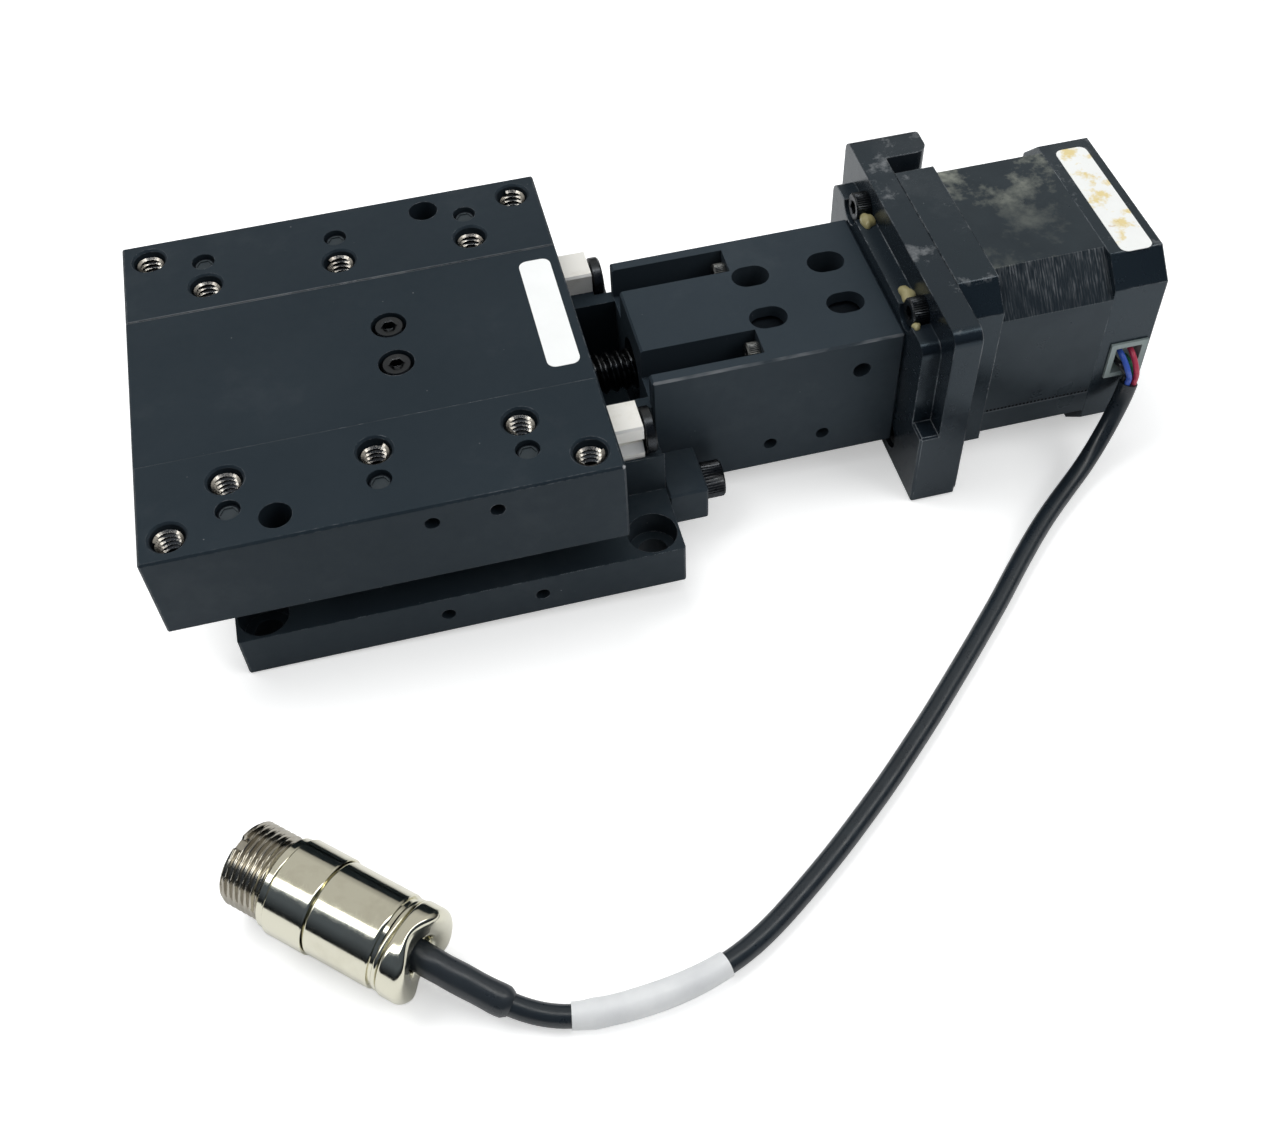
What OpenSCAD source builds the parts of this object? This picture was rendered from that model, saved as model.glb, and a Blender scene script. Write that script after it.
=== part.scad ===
// Motorised linear translation stage on crossed-roller ways.
// Frame: the origin is the centre of the base's bottom face, +X runs along the travel towards the motor,
// +Y to the rear long side and +Z up. All sizes are in millimetres. The carriage is drawn where it rests.

/* [Stage plates] */
// Side of the square base plate
base_size = 80; // [78:0.5:84]
// Height of the base's mounting flange
flange_h = 9.5; // [8.5:0.1:10.5]
// Side of the square carriage plate
table_size = 80; // [80:0.5:84]
// Height of the carriage's top face above the base's bottom face
stage_h = 34.2; // [33.5:0.1:36]
// Height of the carriage's lower edge above the base's bottom face
skirt_z = 16.1; // [13:0.1:16.4]
// Bevel along the edges of both plates
edge = 0.4; // [0.1:0.05:0.8]
// Distance from the plates' sides to their corner holes
corner_in = 5; // [5:0.1:6]
// Spacing of the inner threaded holes of the carriage across the travel
inner_pitch = 50; // [48:0.5:51]
// Counterbore diameter of the base's mounting holes
cbore_d = 9; // [8.8:0.1:9.4]
// Through diameter of the base's mounting holes
mount_hole_d = 5.4; // [5.2:0.1:6]
// Depth of the counterbores
cbore_depth = 5; // [4:0.1:6]

/* [Travel] */
// Full travel of the carriage
travel = 40; // [20:1:40]
// Where the carriage rests, from the middle of its travel
rest_offset = -10; // [-14:0.5:10]
// Advance of the lead screw in one turn
screw_lead = 2; // [1:0.5:4]

/* [Crossed-roller ways] */
// Distance from the plates' ends to the ends of their rails
rail_in = 3.5; // [3.5:0.1:4]
// Width of one rail
rail_w = 7.4; // [7.2:0.1:7.6]
// Height of the rails
rail_h = 9.2; // [8.8:0.1:9.4]
// Height of the rails' lower faces above the base's bottom face
rail_z = 16.8; // [16.5:0.1:17.2]
// Width over one pair of rails
pair_w = 18; // [17.8:0.1:18.2]
// Distance from the stage's middle to the inner rails' backs
rail_y = 17.3; // [17.1:0.1:17.4]
// Side of the square channel between two facing V grooves
channel = 4.75; // [4.6:0.05:4.85]
// Clearance between a roller and the V groove faces
roller_gap = 0.05; // [0.03:0.01:0.1]
// Spacing of the screws along the rails
rail_pitch = 25; // [24:0.5:26]
// Spacing of the rollers along a cage
roller_pitch = 6.5; // [6:0.1:6.8]
// Distance between a cage and the rail's end screw when the carriage is at its limit
cage_play = 0.5; // [0.2:0.1:1]

/* [Lead screw] */
// Height of the lead screw and motor axis above the base's bottom face
axis_z = 16.4; // [16:0.1:16.8]
// Outer diameter of the lead screw
screw_d = 8; // [6.5:0.5:8.5]
// Diameter of the journal in the fixed bearings and the coupling
journal_d = 6; // [5:0.5:6]
// Running clearance on the radius of bores that turn on the screw
run_gap = 0.03; // [0.02:0.01:0.08]

/* [Drive housing] */
// Length of the drive housing
housing_l = 47.6; // [47:0.1:50]
// Width of the drive housing
housing_w = 34; // [33.5:0.1:35]
// Height of the drive housing's top face
housing_top = 28.3; // [27.8:0.1:28.4]
// Height of the drive housing's underside
housing_z = 0.3; // [0.2:0.1:2]
// Outer diameter of the flexible coupling
coupling_d = 18.4; // [18:0.1:18.8]
// Clearance round the coupling in its chamber
chamber_gap = 0.8; // [0.5:0.05:1]
// Length of the flexible coupling
coupling_l = 21.8; // [21:0.1:22]

/* [Motor and its plate] */
// Width of the motor's square body
motor_w = 42.3; // [41:0.1:43]
// Length of the motor's body
motor_l = 39.2; // [38:0.1:42]
// Distance from the motor's sides to its mounting screws
motor_screw_in = 5.65; // [5.2:0.05:6]
// Width of the motor plate beyond the motor, at each side
plate_side = 8.35; // [8:0.05:9]
// How much lower the motor plate is than the motor
plate_under = 0.3; // [0:0.1:0.6]
// Thickness of the motor plate's foot
plate_t = 8.9; // [8.5:0.1:11]
// Depth of the step above the motor plate's foot
plate_step = 3.6; // [3.4:0.1:4]
// Length of the block behind the motor plate's rear edge
block_l = 8.7; // [6:0.1:12]
// Gap between that block and the motor
block_gap = 0.35; // [0.2:0.05:0.8]

/* [Cable and plug] */
// Diameter of the cable
cable_d = 3.6; // [3:0.1:4]
// Diameter of the plug's threaded shell
plug_thread_d = 14; // [13:0.1:14.5]
// Diameter of the plug's collar
plug_d = 16; // [15.8:0.1:17]
// Length of the plug
plug_l = 34; // [33:0.1:36]

/* [Hidden] */

$fn = 48;
cut = 0.05;         // how far a cut reaches past the face it opens
fit = 0.03;         // clearance on the radius of a screw in its hole
sides = [-1, 1];    // front and rear
FRONT = -1;
REAR = 1;

black = [0.10, 0.11, 0.13];
dark_steel = [0.14, 0.14, 0.15];
bright_steel = [0.80, 0.80, 0.78];
bronze = [0.66, 0.48, 0.24];
nickel = [0.74, 0.71, 0.65];
copper = [0.72, 0.38, 0.20];
light_plastic = [0.80, 0.82, 0.80];
cable_black = [0.06, 0.06, 0.07];

// stage plates
half = base_size / 2;
table_half = table_size / 2;
base_corner = half - corner_in;
table_corner = table_half - corner_in;
rail_l = base_size - 2 * rail_in;       // on the base
table_rail_l = table_size - 2 * rail_in;
table_x = rest_offset;                  // middle of the carriage
rail_top = rail_z + rail_h;
pair_gap = pair_w - 2 * rail_w;
outer_y = rail_y + pair_w - rail_w;     // inner faces of the outer rails
back_y = rail_y + pair_w;               // backs of the outer rails
way_y = rail_y + pair_w / 2;            // middle of the rollers
way_z = rail_z + rail_h / 2;
groove_depth = channel / sqrt(2) - pair_gap / 2;
relief_w = 0.7;                         // relief slot at the bottom of a V groove
relief_depth = 0.3;
rail_screw_in = 3.5;                    // from a rail's back to its screws
inner_screw_y = rail_y + rail_screw_in;
outer_screw_y = back_y - rail_screw_in;
pocket_half = rail_y - 3.9;             // half width of the base's middle pocket
pocket_z = 4;
shoulder_z = rail_z + 4.9;
lip_w = 0.5;
lip_z = rail_z + 1.7;
seat_gap = 0.1;                         // between a rail's face and the lip beside it
rib_half = rail_y + rail_w + seat_gap + lip_w;
end_wall = 6;                           // wall that holds the support bearing
deck_z = rail_top + 2.7;                // underside of the carriage's middle
deck_half = outer_y - 0.3;
strip_half = 18.4;                      // shallow strip along the carriage's top
strip_depth = 0.2;

// screws: thread, head diameter, head height, hexagon
M25 = [2.5, 4.5, 2.5, 2];
M3 = [3, 5.5, 3, 2.5];
M4 = [4, 7, 4, 3];
tapped_d = 2.6;
tapped_depth = 7;
insert_d = 6;
insert_bore = 4.4;
insert_l = 5;
insert_drop = 0.2;                      // from the carriage's top to the insert
corner_depth = 7.4;
access_d = 5.5;
access_x = 17.5;
table_tapped = [7, 18];                 // along the carriage's front face, from its middle
table_tapped_z = 30.1;
base_tapped = [-3.6, 13.5];
base_tapped_z = 5;
stop_d = 8.6;                           // head of a rail end screw
stop_h = 2;
stop_gap = 0.4;
stop_y = rail_y + 3.7;
stop_thread = 5.5;
rail_screw_sink = 3.2;
plug_screw_d = 4.2;                     // heads of the outer rails' screws
plug_screw_h = 2.4;
plug_screw_sink = 0.9;

// nut, its bracket and the lead screw
bracket_x = table_x + 6.6;
bracket_l = 14;
bracket_half = 12.2;
bracket_z = 7;
bracket_screw_y = 5;
bracket_sink = 3.5;
nut_d = 14;
nut_flange_d = 22.4;
nut_flange_t = 4;
nut_screw_r = 9.1;
M2 = [2, 3.8, 1.2, 1.5];
support_id = 5;
support_od = 11;
support_w = 4;
bearing_od = 19;
bearing_w = 6;
bearing_count = 2;
ring_share = 0.45;                      // how much of a bearing's wall is its inner ring
function ring_split(id, od) = id + ring_share * (od - id);
bearing_x = half + 5;                   // left face of the fixed bearings
bearing_end = bearing_x + bearing_count * bearing_w;
entry_d = 12;
locknut_d = 11.4;
retainer_t = 3;
retainer_bore = 12.4;
locknut_t = 3.4;
coupling_x = bearing_end + locknut_t + 1.05;        // left face of the coupling
screw_end = coupling_x + coupling_l / 2 - 0.95;     // motor-side end of the lead screw
slit_w = 0.8;
slit_pitch = 1.7;
slit_count = 5;
web = 3.4;
clamp_in = 3.45;                        // from a coupling's end to its clamp screw
clamp_y = 5.9;
clamp_slot = 1;

// drive housing
chamber_d = coupling_d + 2 * chamber_gap;
chamber_wall = 0.8;
housing_end = half + housing_l;
tongue_half = 8.35;
groove_w = 6.25;
groove_l = 21.6;
groove_z = housing_top - 6.6;
window_l = 7.2;
window_w = 5.6;
cover_half = clamp_y + window_w / 2 + 0.9;
cover_z = axis_z + 5.6;
cover_end = coupling_x + coupling_l - clamp_in + window_l / 2 + 0.9;
tie_y = 11.3;
tie_z = housing_top - 3.1;
tie_l = 30;
ear_l = 7.5;
ear_w = 11;
ear_z = 1.8;
ear_h = 8;
ear_screw_y = housing_w / 2 + 5.4;
ear_screw_z = 5.9;
ear_screw_l = 16;
side_hole_d = 3.4;
side_hole = [coupling_x + coupling_l - clamp_in, 21.3];
side_tapped = [[half + 22.7, 6.3], [half + 33.1, 6.3]];

// motor and its plate
plate_x = housing_end;
step_x = plate_x + plate_step;
motor_x = plate_x + plate_t;
motor_pitch = motor_w - 2 * motor_screw_in;
plate_w = motor_w + 2 * plate_side;
plate_h = motor_w - plate_under;
block_w = plate_side - block_gap;
plate_z = axis_z - plate_h / 2;
foot_z = 13;                            // top of the plate's thick foot
boss_half = plate_w / 2 - 4.5;
boss_z = plate_z + plate_h - 5.9;
boss_r = 2.5;
plate_r = 2.5;
front_cap_l = 7.7;
rear_cap_l = 10.2;
stack_x = motor_x + front_cap_l;
rear_cap_x = motor_x + motor_l - rear_cap_l;
motor_end = motor_x + motor_l;
cap_bevel = 4.8;
stack_bevel = 6.8;
pilot_d = 22;
pilot_h = 2;
motor_shaft_d = 5;
shaft_out = 24;
bore_d = motor_w - 16.3;
rotor_d = bore_d - 0.6;
slot_count = 8;
slot_w = 4.4;
motor_bearing_od = 16;
motor_bearing_w = 5;
winding_ro = motor_w / 2 - 3.65;
winding_ri = bore_d / 2 + 0.6;
winding_l = 2.6;
slot_depth = winding_ro - bore_d / 2 + 0.5;
cap_cup_d = 2 * winding_ro + 1.5;
cap_cup = 3.1;
rear_screw_sink = 2;
socket_x = motor_end - 4.2;
socket_z = axis_z - 1.6;
socket_l = 7.4;
socket_h = 8.4;
socket_wall = 1.1;
socket_depth = motor_w / 2 - winding_ro - 0.25;
socket_proud = 0.5;
socket_recess = 2.4;                    // from the socket's rim to the wires' block
socket_face_y = -motor_w / 2 - socket_proud + socket_recess;

// surface that the stage and its cable lie on: it touches the base's left edge and the motor plate's foot
rest_slope = plate_z / (plate_x + half);
function rest_z(x) = rest_slope * (x + half);

// cable, from the motor's wires to the plug
ROUTE = [[132.3, -23.4, 10.0], [131.6, -24.0, 7.2], [130.2, -25.0, 4.5], [128.4, -26.4, 2.0],
    [126.2, -28.1, -0.1], [123.7, -30.1, -1.7], [120.6, -32.6, -2.6], [116.8, -35.6, -2.9],
    [111.8, -39.8, -2.9], [107.4, -43.8, -2.9], [103.4, -47.8, -2.9], [99.0, -52.3, -2.9],
    [94.7, -56.9, -2.9], [90.2, -61.4, -2.8], [85.8, -65.8, -2.7], [81.5, -70.0, -2.5],
    [74.0, -77.3, -2.3], [67.0, -83.7, -2.0], [61.7, -88.5, -1.8], [56.3, -93.0, -1.6],
    [51.2, -97.2, -1.4], [46.0, -101.2, -1.3], [38.0, -107.0, -1.0], [32.5, -110.5, -0.7],
    [27.0, -113.1, -0.3], [20.6, -114.9, -0.1], [14.2, -115.8, 0.2], [7.8, -116.1, 0.4],
    [1.8, -115.6, 0.6], [-2.6, -114.2, 1.2], [-6.4, -112.2, 2.3], [-9.8, -109.8, 3.8],
    [-12.8, -107.6, 5.2], [-15.4, -105.7, 6.4], [-17.3, -104.1, 7.1], [-19.0, -102.5, 7.2]];
SLEEVE = [24, 28];          // first and last point of the marker sleeve
BOOT = [30, 35];            // first and last point of the boot
sleeve_wall = 0.45;
boot_wall = [0.65, 0.6];    // at the cable end and at the plug end
tube_gap = 0.05;
tube_sides = 8;
wire_d = 1.1;
wire_sides = 8;

// plug, along its own axis from the threaded front
plug_front = [-42, -81.3];
plug_yaw = -42.6;
plug_tilt = atan(-rest_slope * cos(plug_yaw));
thread_l = 7.6;
collar_x = 9;
barrel_x = 16.4;
nut_x = 28.6;
nut_neck = 0.6;
barrel_d = plug_d - 0.6;
collar_d = plug_d - 1;
nut_out_d = plug_d - 0.4;
nut_flat = plug_d - 2.4;
shell_wall = 1.2;
cable_hole_d = 6.4;
cable_seat = 31.15;                     // where the cable ends inside the clamp nut
saddle = 2;                             // depth of the clamp nut's hollowed end
insert_face = 4;
insert_t = 7;
pin_count = 5;
pin_r = 3.4;
pin_d = 1;
pin_out = 2.6;

// ---- shared shapes ----

// cylinder along +X from x
module rod(x, l, d, y = 0, z = 0) {
    translate([x, y, z])
        rotate([0, 90, 0])
            cylinder(h = l, d = d);
}

// hexagonal hole or bar along +X from x
module hex_rod(x, l, flats) {
    translate([x, 0, 0])
        rotate([0, 90, 0])
            cylinder(h = l, d = flats / cos(30), $fn = 6);
}

// cap screw along +X: the head ends at x = 0 and the thread runs on to l; m is [thread, head, height, hexagon]
module cap_screw(m, l) {
    difference() {
        union() {
            rod(-m[2], m[2], m[1]);
            rod(-cut, l + cut, m[0]);
        }
        hex_rod(-m[2] - cut, m[2] / 2 + cut, m[3]);
    }
}

// cap screw pointing down from its seat
module cap_screw_down(m, l) {
    rotate([0, 90, 0])
        cap_screw(m, l);
}

// rectangle with bevelled corners, from its lower corner
module bevel_rect(a, b, c) {
    polygon([[c, 0], [a - c, 0], [a, c], [a, b - c], [a - c, b], [c, b], [0, b - c], [0, c]]);
}

// block with bevelled edges, from its lower corner
module bevel_block(size, c) {
    intersection() {
        linear_extrude(size[2])
            bevel_rect(size[0], size[1], c);
        translate([0, size[1], 0])
            rotate([90, 0, 0])
                linear_extrude(size[1])
                    bevel_rect(size[0], size[2], c);
        rotate([90, 0, 90])
            linear_extrude(size[0])
                bevel_rect(size[1], size[2], c);
    }
}

// turns a profile drawn in Y and Z into a bar along X
module bar_x(x, l) {
    translate([x, 0, 0])
        rotate([90, 0, 90])
            linear_extrude(l)
                children();
}

// ring along X
module ring_x(x, l, od, id) {
    difference() {
        rod(x, l, od);
        rod(x - cut, l + 2 * cut, id);
    }
}

// ---- base and ways ----

// closed outline from the points of its right half
function mirrored(points) = concat(points, [for (i = [len(points) - 1:-1:0]) [-points[i][0], points[i][1]]]);

// the base's section across the travel
module base_section() {
    polygon(mirrored([[half, 0], [half, flange_h], [rib_half, flange_h], [rib_half, lip_z],
        [rib_half - lip_w, lip_z], [rib_half - lip_w, rail_z], [rail_y, rail_z], [rail_y, shoulder_z],
        [pocket_half, shoulder_z], [pocket_half, pocket_z]]));
}

module base_plate() {
    color(black)
        difference() {
            intersection() {
                union() {
                    bar_x(-half, base_size)
                        base_section();
                    translate([-half, -rail_y, pocket_z - cut])
                        cube([end_wall, 2 * rail_y, shoulder_z - pocket_z + cut]);
                }
                translate([-half, -half, 0])
                    bevel_block([base_size, base_size, stage_h], edge);
            }
            for (sx = sides, sy = sides)
                translate([sx * base_corner, sy * base_corner, 0]) {
                    translate([0, 0, -cut])
                        cylinder(h = flange_h, d = mount_hole_d);
                    translate([0, 0, flange_h - cbore_depth])
                        cylinder(h = cbore_depth + cut, d = cbore_d);
                }
            for (sy = sides) {
                for (k = [-1:1])
                    translate([k * rail_pitch, sy * inner_screw_y, rail_z - tapped_depth])
                        cylinder(h = tapped_depth + cut, d = M3[0] + 2 * fit);
                for (x = [-half - cut, rail_l / 2 + cut])
                    rod(x, half - rail_l / 2, stop_d + 1, sy * stop_y, way_z);
                rod(half - ear_screw_l + ear_l - 1, ear_screw_l, M4[0] + 2 * fit, sy * ear_screw_y, ear_screw_z);
            }
            for (x = base_tapped)
                translate([x, -half - cut, base_tapped_z])
                    rotate([-90, 0, 0])
                        cylinder(h = tapped_depth, d = tapped_d);
            rod(-half + (end_wall - support_w), support_w + cut, support_od, 0, axis_z);
            rod(-half - cut, end_wall, support_od - 2.4, 0, axis_z);
        }
}

// section of a rail with its back at y = 0 and its V groove in the far face
module rail_section() {
    d = groove_depth;
    zc = rail_h / 2;
    r = relief_w / 2;
    polygon([[edge, 0], [rail_w - edge, 0], [rail_w, edge], [rail_w, zc - d], [rail_w - d + r, zc - r],
        [rail_w - d - relief_depth, zc - r], [rail_w - d - relief_depth, zc + r], [rail_w - d + r, zc + r],
        [rail_w, zc + d], [rail_w, rail_h - edge], [rail_w - edge, rail_h], [edge, rail_h],
        [0, rail_h - edge], [0, edge]]);
}

// rail on the base
module inner_rail(side) {
    color(bright_steel)
        difference() {
            scale([1, side, 1])
                translate([0, rail_y, rail_z])
                    bar_x(-rail_l / 2, rail_l)
                        rail_section();
            for (k = [-1:1])
                translate([k * rail_pitch, side * inner_screw_y, 0]) {
                    translate([0, 0, rail_z - cut])
                        cylinder(h = rail_h + 2 * cut, d = M3[0] + 2 * fit);
                    translate([0, 0, rail_top - rail_screw_sink])
                        cylinder(h = rail_screw_sink + cut, d = M3[1] + 0.3);
                }
            for (s = sides)
                rod(s > 0 ? rail_l / 2 - stop_thread : -rail_l / 2 - cut, stop_thread + cut, M3[0] + 2 * fit,
                    side * stop_y, way_z);
        }
}

module inner_rail_front() {
    inner_rail(FRONT);
}

module inner_rail_rear() {
    inner_rail(REAR);
}

module inner_rail_screws() {
    color(dark_steel)
        for (sy = sides, k = [-1:1])
            translate([k * rail_pitch, sy * inner_screw_y, rail_top - rail_screw_sink])
                cap_screw_down(M3, rail_h - rail_screw_sink + tapped_depth - 1);
}

// low-headed screws that keep the cages on the rails
module rail_end_screws() {
    color(dark_steel)
        for (sx = sides, sy = sides)
            translate([sx * (rail_l / 2 + stop_gap), sy * stop_y, way_z])
                rotate([0, sx > 0 ? 180 : 0, 0])
                    difference() {
                        union() {
                            rod(-stop_h, stop_h, stop_d);
                            rod(-cut, stop_gap + stop_thread - 0.5, M3[0]);
                        }
                        hex_rod(-stop_h - cut, stop_h / 2, M3[3]);
                    }
}

// hole through the carriage and the back of its rail, for the key of a base screw
module access_hole(side) {
    translate([table_x + side * access_x, side * base_corner, min(rail_z, skirt_z) - cut])
        cylinder(h = stage_h, d = access_d);
}

// rail under the carriage
module outer_rail(side) {
    color(bright_steel)
        difference() {
            scale([1, side, 1])
                translate([0, back_y, rail_z])
                    mirror([0, 1, 0])
                        bar_x(table_x - table_rail_l / 2, table_rail_l)
                            rail_section();
            for (k = [-1:1])
                translate([table_x + k * rail_pitch, side * outer_screw_y, rail_z - cut])
                    cylinder(h = rail_h + 2 * cut, d = M3[0] + 2 * fit);
            access_hole(side);
        }
}

module outer_rail_front() {
    outer_rail(FRONT);
}

module outer_rail_rear() {
    outer_rail(REAR);
}

module outer_rail_screws() {
    color(dark_steel)
        for (sy = sides, k = [-1:1])
            translate([table_x + k * rail_pitch, sy * outer_screw_y, stage_h - plug_screw_sink - plug_screw_h])
                cap_screw_down([M3[0], plug_screw_d, plug_screw_h, M3[3]], stage_h - rail_z - 5);
}

cage_x = table_x / 2;       // the cages roll half as far as the carriage
cage_l = rail_l - travel / 2 - 2 * cage_play;
cage_t = 1.4;
cage_h = 8.2;
roller_d = channel - 2 * roller_gap;
roller_l = roller_d - 0.1;
roller_count = floor((cage_l - roller_d - 1.5) / roller_pitch) + 1;

function roller_x(k) = cage_x + (k - (roller_count - 1) / 2) * roller_pitch;

// flat cage with one window for each roller
module roller_cage(side) {
    window = [roller_d + 0.2, cage_t + 1, roller_d * sqrt(2) + 0.3];
    color(bronze)
        translate([0, side * way_y, way_z])
            difference() {
                translate([cage_x - cage_l / 2, -cage_t / 2, -cage_h / 2])
                    bevel_block([cage_l, cage_t, cage_h], 0.3);
                for (k = [0:roller_count - 1])
                    translate([roller_x(k) - window[0] / 2, -window[1] / 2, -window[2] / 2])
                        cube(window);
            }
}

module roller_cage_front() {
    roller_cage(FRONT);
}

module roller_cage_rear() {
    roller_cage(REAR);
}

// rollers, each at right angles to the next
module rollers(side) {
    color(bright_steel)
        for (k = [0:roller_count - 1])
            translate([roller_x(k), side * way_y, way_z])
                rotate([k % 2 == 0 ? 45 : -45, 0, 0])
                    translate([0, 0, -roller_l / 2])
                        cylinder(h = roller_l, d = roller_d);
}

module rollers_front() {
    rollers(FRONT);
}

module rollers_rear() {
    rollers(REAR);
}

// ---- carriage ----

// the carriage's section across the travel
module carriage_section() {
    polygon(mirrored([[deck_half, deck_z], [deck_half, rail_top], [back_y, rail_top], [back_y, skirt_z],
        [table_half, skirt_z], [table_half, stage_h], [strip_half, stage_h],
        [strip_half, stage_h - strip_depth]]));
}

// places of the threaded holes, from the carriage's middle: [x, y, depth]
function thread_places() = concat(
    [for (sx = sides, sy = sides) [sx * table_corner, sy * table_corner, corner_depth]],
    [for (k = [-1:1], sy = sides) [k * rail_pitch, sy * inner_pitch / 2, stage_h - deck_z]]);

module carriage_plate() {
    color(black)
        difference() {
            intersection() {
                bar_x(table_x - table_half, table_size)
                    carriage_section();
                translate([table_x - table_half, -table_half, skirt_z])
                    bevel_block([table_size, table_size, stage_h - skirt_z], edge);
            }
            for (p = thread_places())
                translate([table_x + p[0], p[1], stage_h - p[2]]) {
                    translate([0, 0, p[2] > stage_h - deck_z ? 0 : -cut])
                        cylinder(h = p[2] + 2 * cut, d = insert_d);
                    translate([0, 0, p[2] - edge])
                        cylinder(h = edge + cut, d1 = insert_d, d2 = insert_d + 2 * (edge + cut));
                }
            for (sy = sides, k = [-1:1])
                translate([table_x + k * rail_pitch, sy * outer_screw_y, 0]) {
                    translate([0, 0, rail_top - cut])
                        cylinder(h = stage_h, d = M3[0] + 2 * fit);
                    translate([0, 0, stage_h - plug_screw_sink - plug_screw_h])
                        cylinder(h = stage_h, d = plug_screw_d + 2 * fit);
                }
            for (sy = sides) {
                access_hole(sy);
                translate([bracket_x, sy * bracket_screw_y, deck_z - cut])
                    cylinder(h = stage_h, d = M3[0] + 2 * fit);
                translate([bracket_x, sy * bracket_screw_y, stage_h - bracket_sink])
                    cylinder(h = stage_h, d = M3[1] + 1);
            }
            for (x = table_tapped)
                translate([table_x + x, -table_half - cut, table_tapped_z])
                    rotate([-90, 0, 0])
                        cylinder(h = tapped_depth, d = tapped_d);
        }
}

// wire thread inserts in the carriage's threaded holes
module thread_inserts() {
    color(bright_steel)
        for (p = thread_places())
            translate([table_x + p[0], p[1], stage_h - insert_drop - edge - insert_l + 0.4])
                difference() {
                    cylinder(h = insert_l - 0.4, d = insert_d);
                    translate([0, 0, -cut])
                        cylinder(h = insert_l, d = insert_bore);
                }
}

// block that hangs from the carriage and holds the nut
module nut_bracket() {
    color(black)
        difference() {
            translate([bracket_x - bracket_l / 2, -bracket_half, bracket_z])
                bevel_block([bracket_l, 2 * bracket_half, deck_z - bracket_z], edge);
            rod(bracket_x - bracket_l / 2 - cut, bracket_l + 2 * cut, nut_d, 0, axis_z);
            for (sy = sides)
                translate([bracket_x, sy * bracket_screw_y, deck_z - 6])
                    cylinder(h = 6 + cut, d = M3[0] + 2 * fit);
            for (a = [90:120:330])
                translate([0, nut_screw_r * cos(a), axis_z + nut_screw_r * sin(a)])
                    rod(bracket_x - bracket_l / 2 - cut, 5, M2[0] + 2 * fit);
        }
}

module bracket_screws() {
    color(dark_steel)
        for (sy = sides)
            translate([bracket_x, sy * bracket_screw_y, stage_h - bracket_sink])
                cap_screw_down(M3, stage_h - bracket_sink - deck_z + 5.5);
}

module lead_nut() {
    nut_left = bracket_x - bracket_l / 2 - nut_flange_t;
    color(bronze)
        difference() {
            union() {
                rod(nut_left, nut_flange_t, nut_flange_d, 0, axis_z);
                rod(nut_left, nut_flange_t + bracket_l, nut_d, 0, axis_z);
            }
            rod(nut_left - cut, nut_flange_t + bracket_l + 1, screw_d + 2 * run_gap, 0, axis_z);
            for (a = [90:120:330])
                translate([0, nut_screw_r * cos(a), axis_z + nut_screw_r * sin(a)])
                    rod(nut_left - cut, nut_flange_t + 1, M2[0] + 2 * fit);
        }
}

module nut_screws() {
    color(dark_steel)
        for (a = [90:120:330])
            translate([bracket_x - bracket_l / 2 - nut_flange_t, nut_screw_r * cos(a),
                axis_z + nut_screw_r * sin(a)])
                cap_screw(M2, nut_flange_t + 4);
}

// ---- lead screw, its bearings and the coupling ----

module lead_screw() {
    thread_x = -half + end_wall + 0.6;
    color(dark_steel)
        union() {
            rod(-half + end_wall - support_w, thread_x - (-half + end_wall - support_w) + 1, support_id, 0, axis_z);
            rod(thread_x, bearing_x - thread_x, screw_d, 0, axis_z);
            rod(bearing_x - cut, screw_end - bearing_x + cut, journal_d, 0, axis_z);
        }
}

module support_bearing_outer() {
    color(bright_steel)
        translate([0, 0, axis_z])
            ring_x(-half + end_wall - support_w, support_w, support_od, ring_split(support_id, support_od)
                + 2 * run_gap);
}

module support_bearing_inner() {
    color(bright_steel)
        translate([0, 0, axis_z])
            ring_x(-half + end_wall - support_w, support_w, ring_split(support_id, support_od), support_id);
}

module fixed_bearings_outer() {
    color(bright_steel)
        translate([0, 0, axis_z])
            for (k = [0:bearing_count - 1])
                ring_x(bearing_x + k * bearing_w, bearing_w, bearing_od, ring_split(journal_d, bearing_od)
                    + 2 * run_gap);
}

module fixed_bearings_inner() {
    color(bright_steel)
        translate([0, 0, axis_z])
            for (k = [0:bearing_count - 1])
                ring_x(bearing_x + k * bearing_w, bearing_w, ring_split(journal_d, bearing_od), journal_d);
}

// locking nut that clamps the inner rings on the journal
module bearing_locknut() {
    color(dark_steel)
        translate([0, 0, axis_z])
            difference() {
                ring_x(bearing_end, locknut_t, locknut_d, journal_d);
                for (a = [0, 90])
                    rotate([a, 0, 0])
                        translate([bearing_end + locknut_t - 1, -1, -locknut_d])
                            cube([1 + cut, 2, 2 * (locknut_d - journal_d / 2 - 1.2)]);
            }
}

// threaded ring that clamps the outer rings in the housing
module bearing_retainer() {
    color(dark_steel)
        translate([0, 0, axis_z])
            difference() {
                ring_x(bearing_end, retainer_t, bearing_od, retainer_bore);
                for (s = sides)
                    rod(bearing_end + 1, retainer_t, 1.4, 0, s * (bearing_od + retainer_bore) / 4);
            }
}

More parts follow.
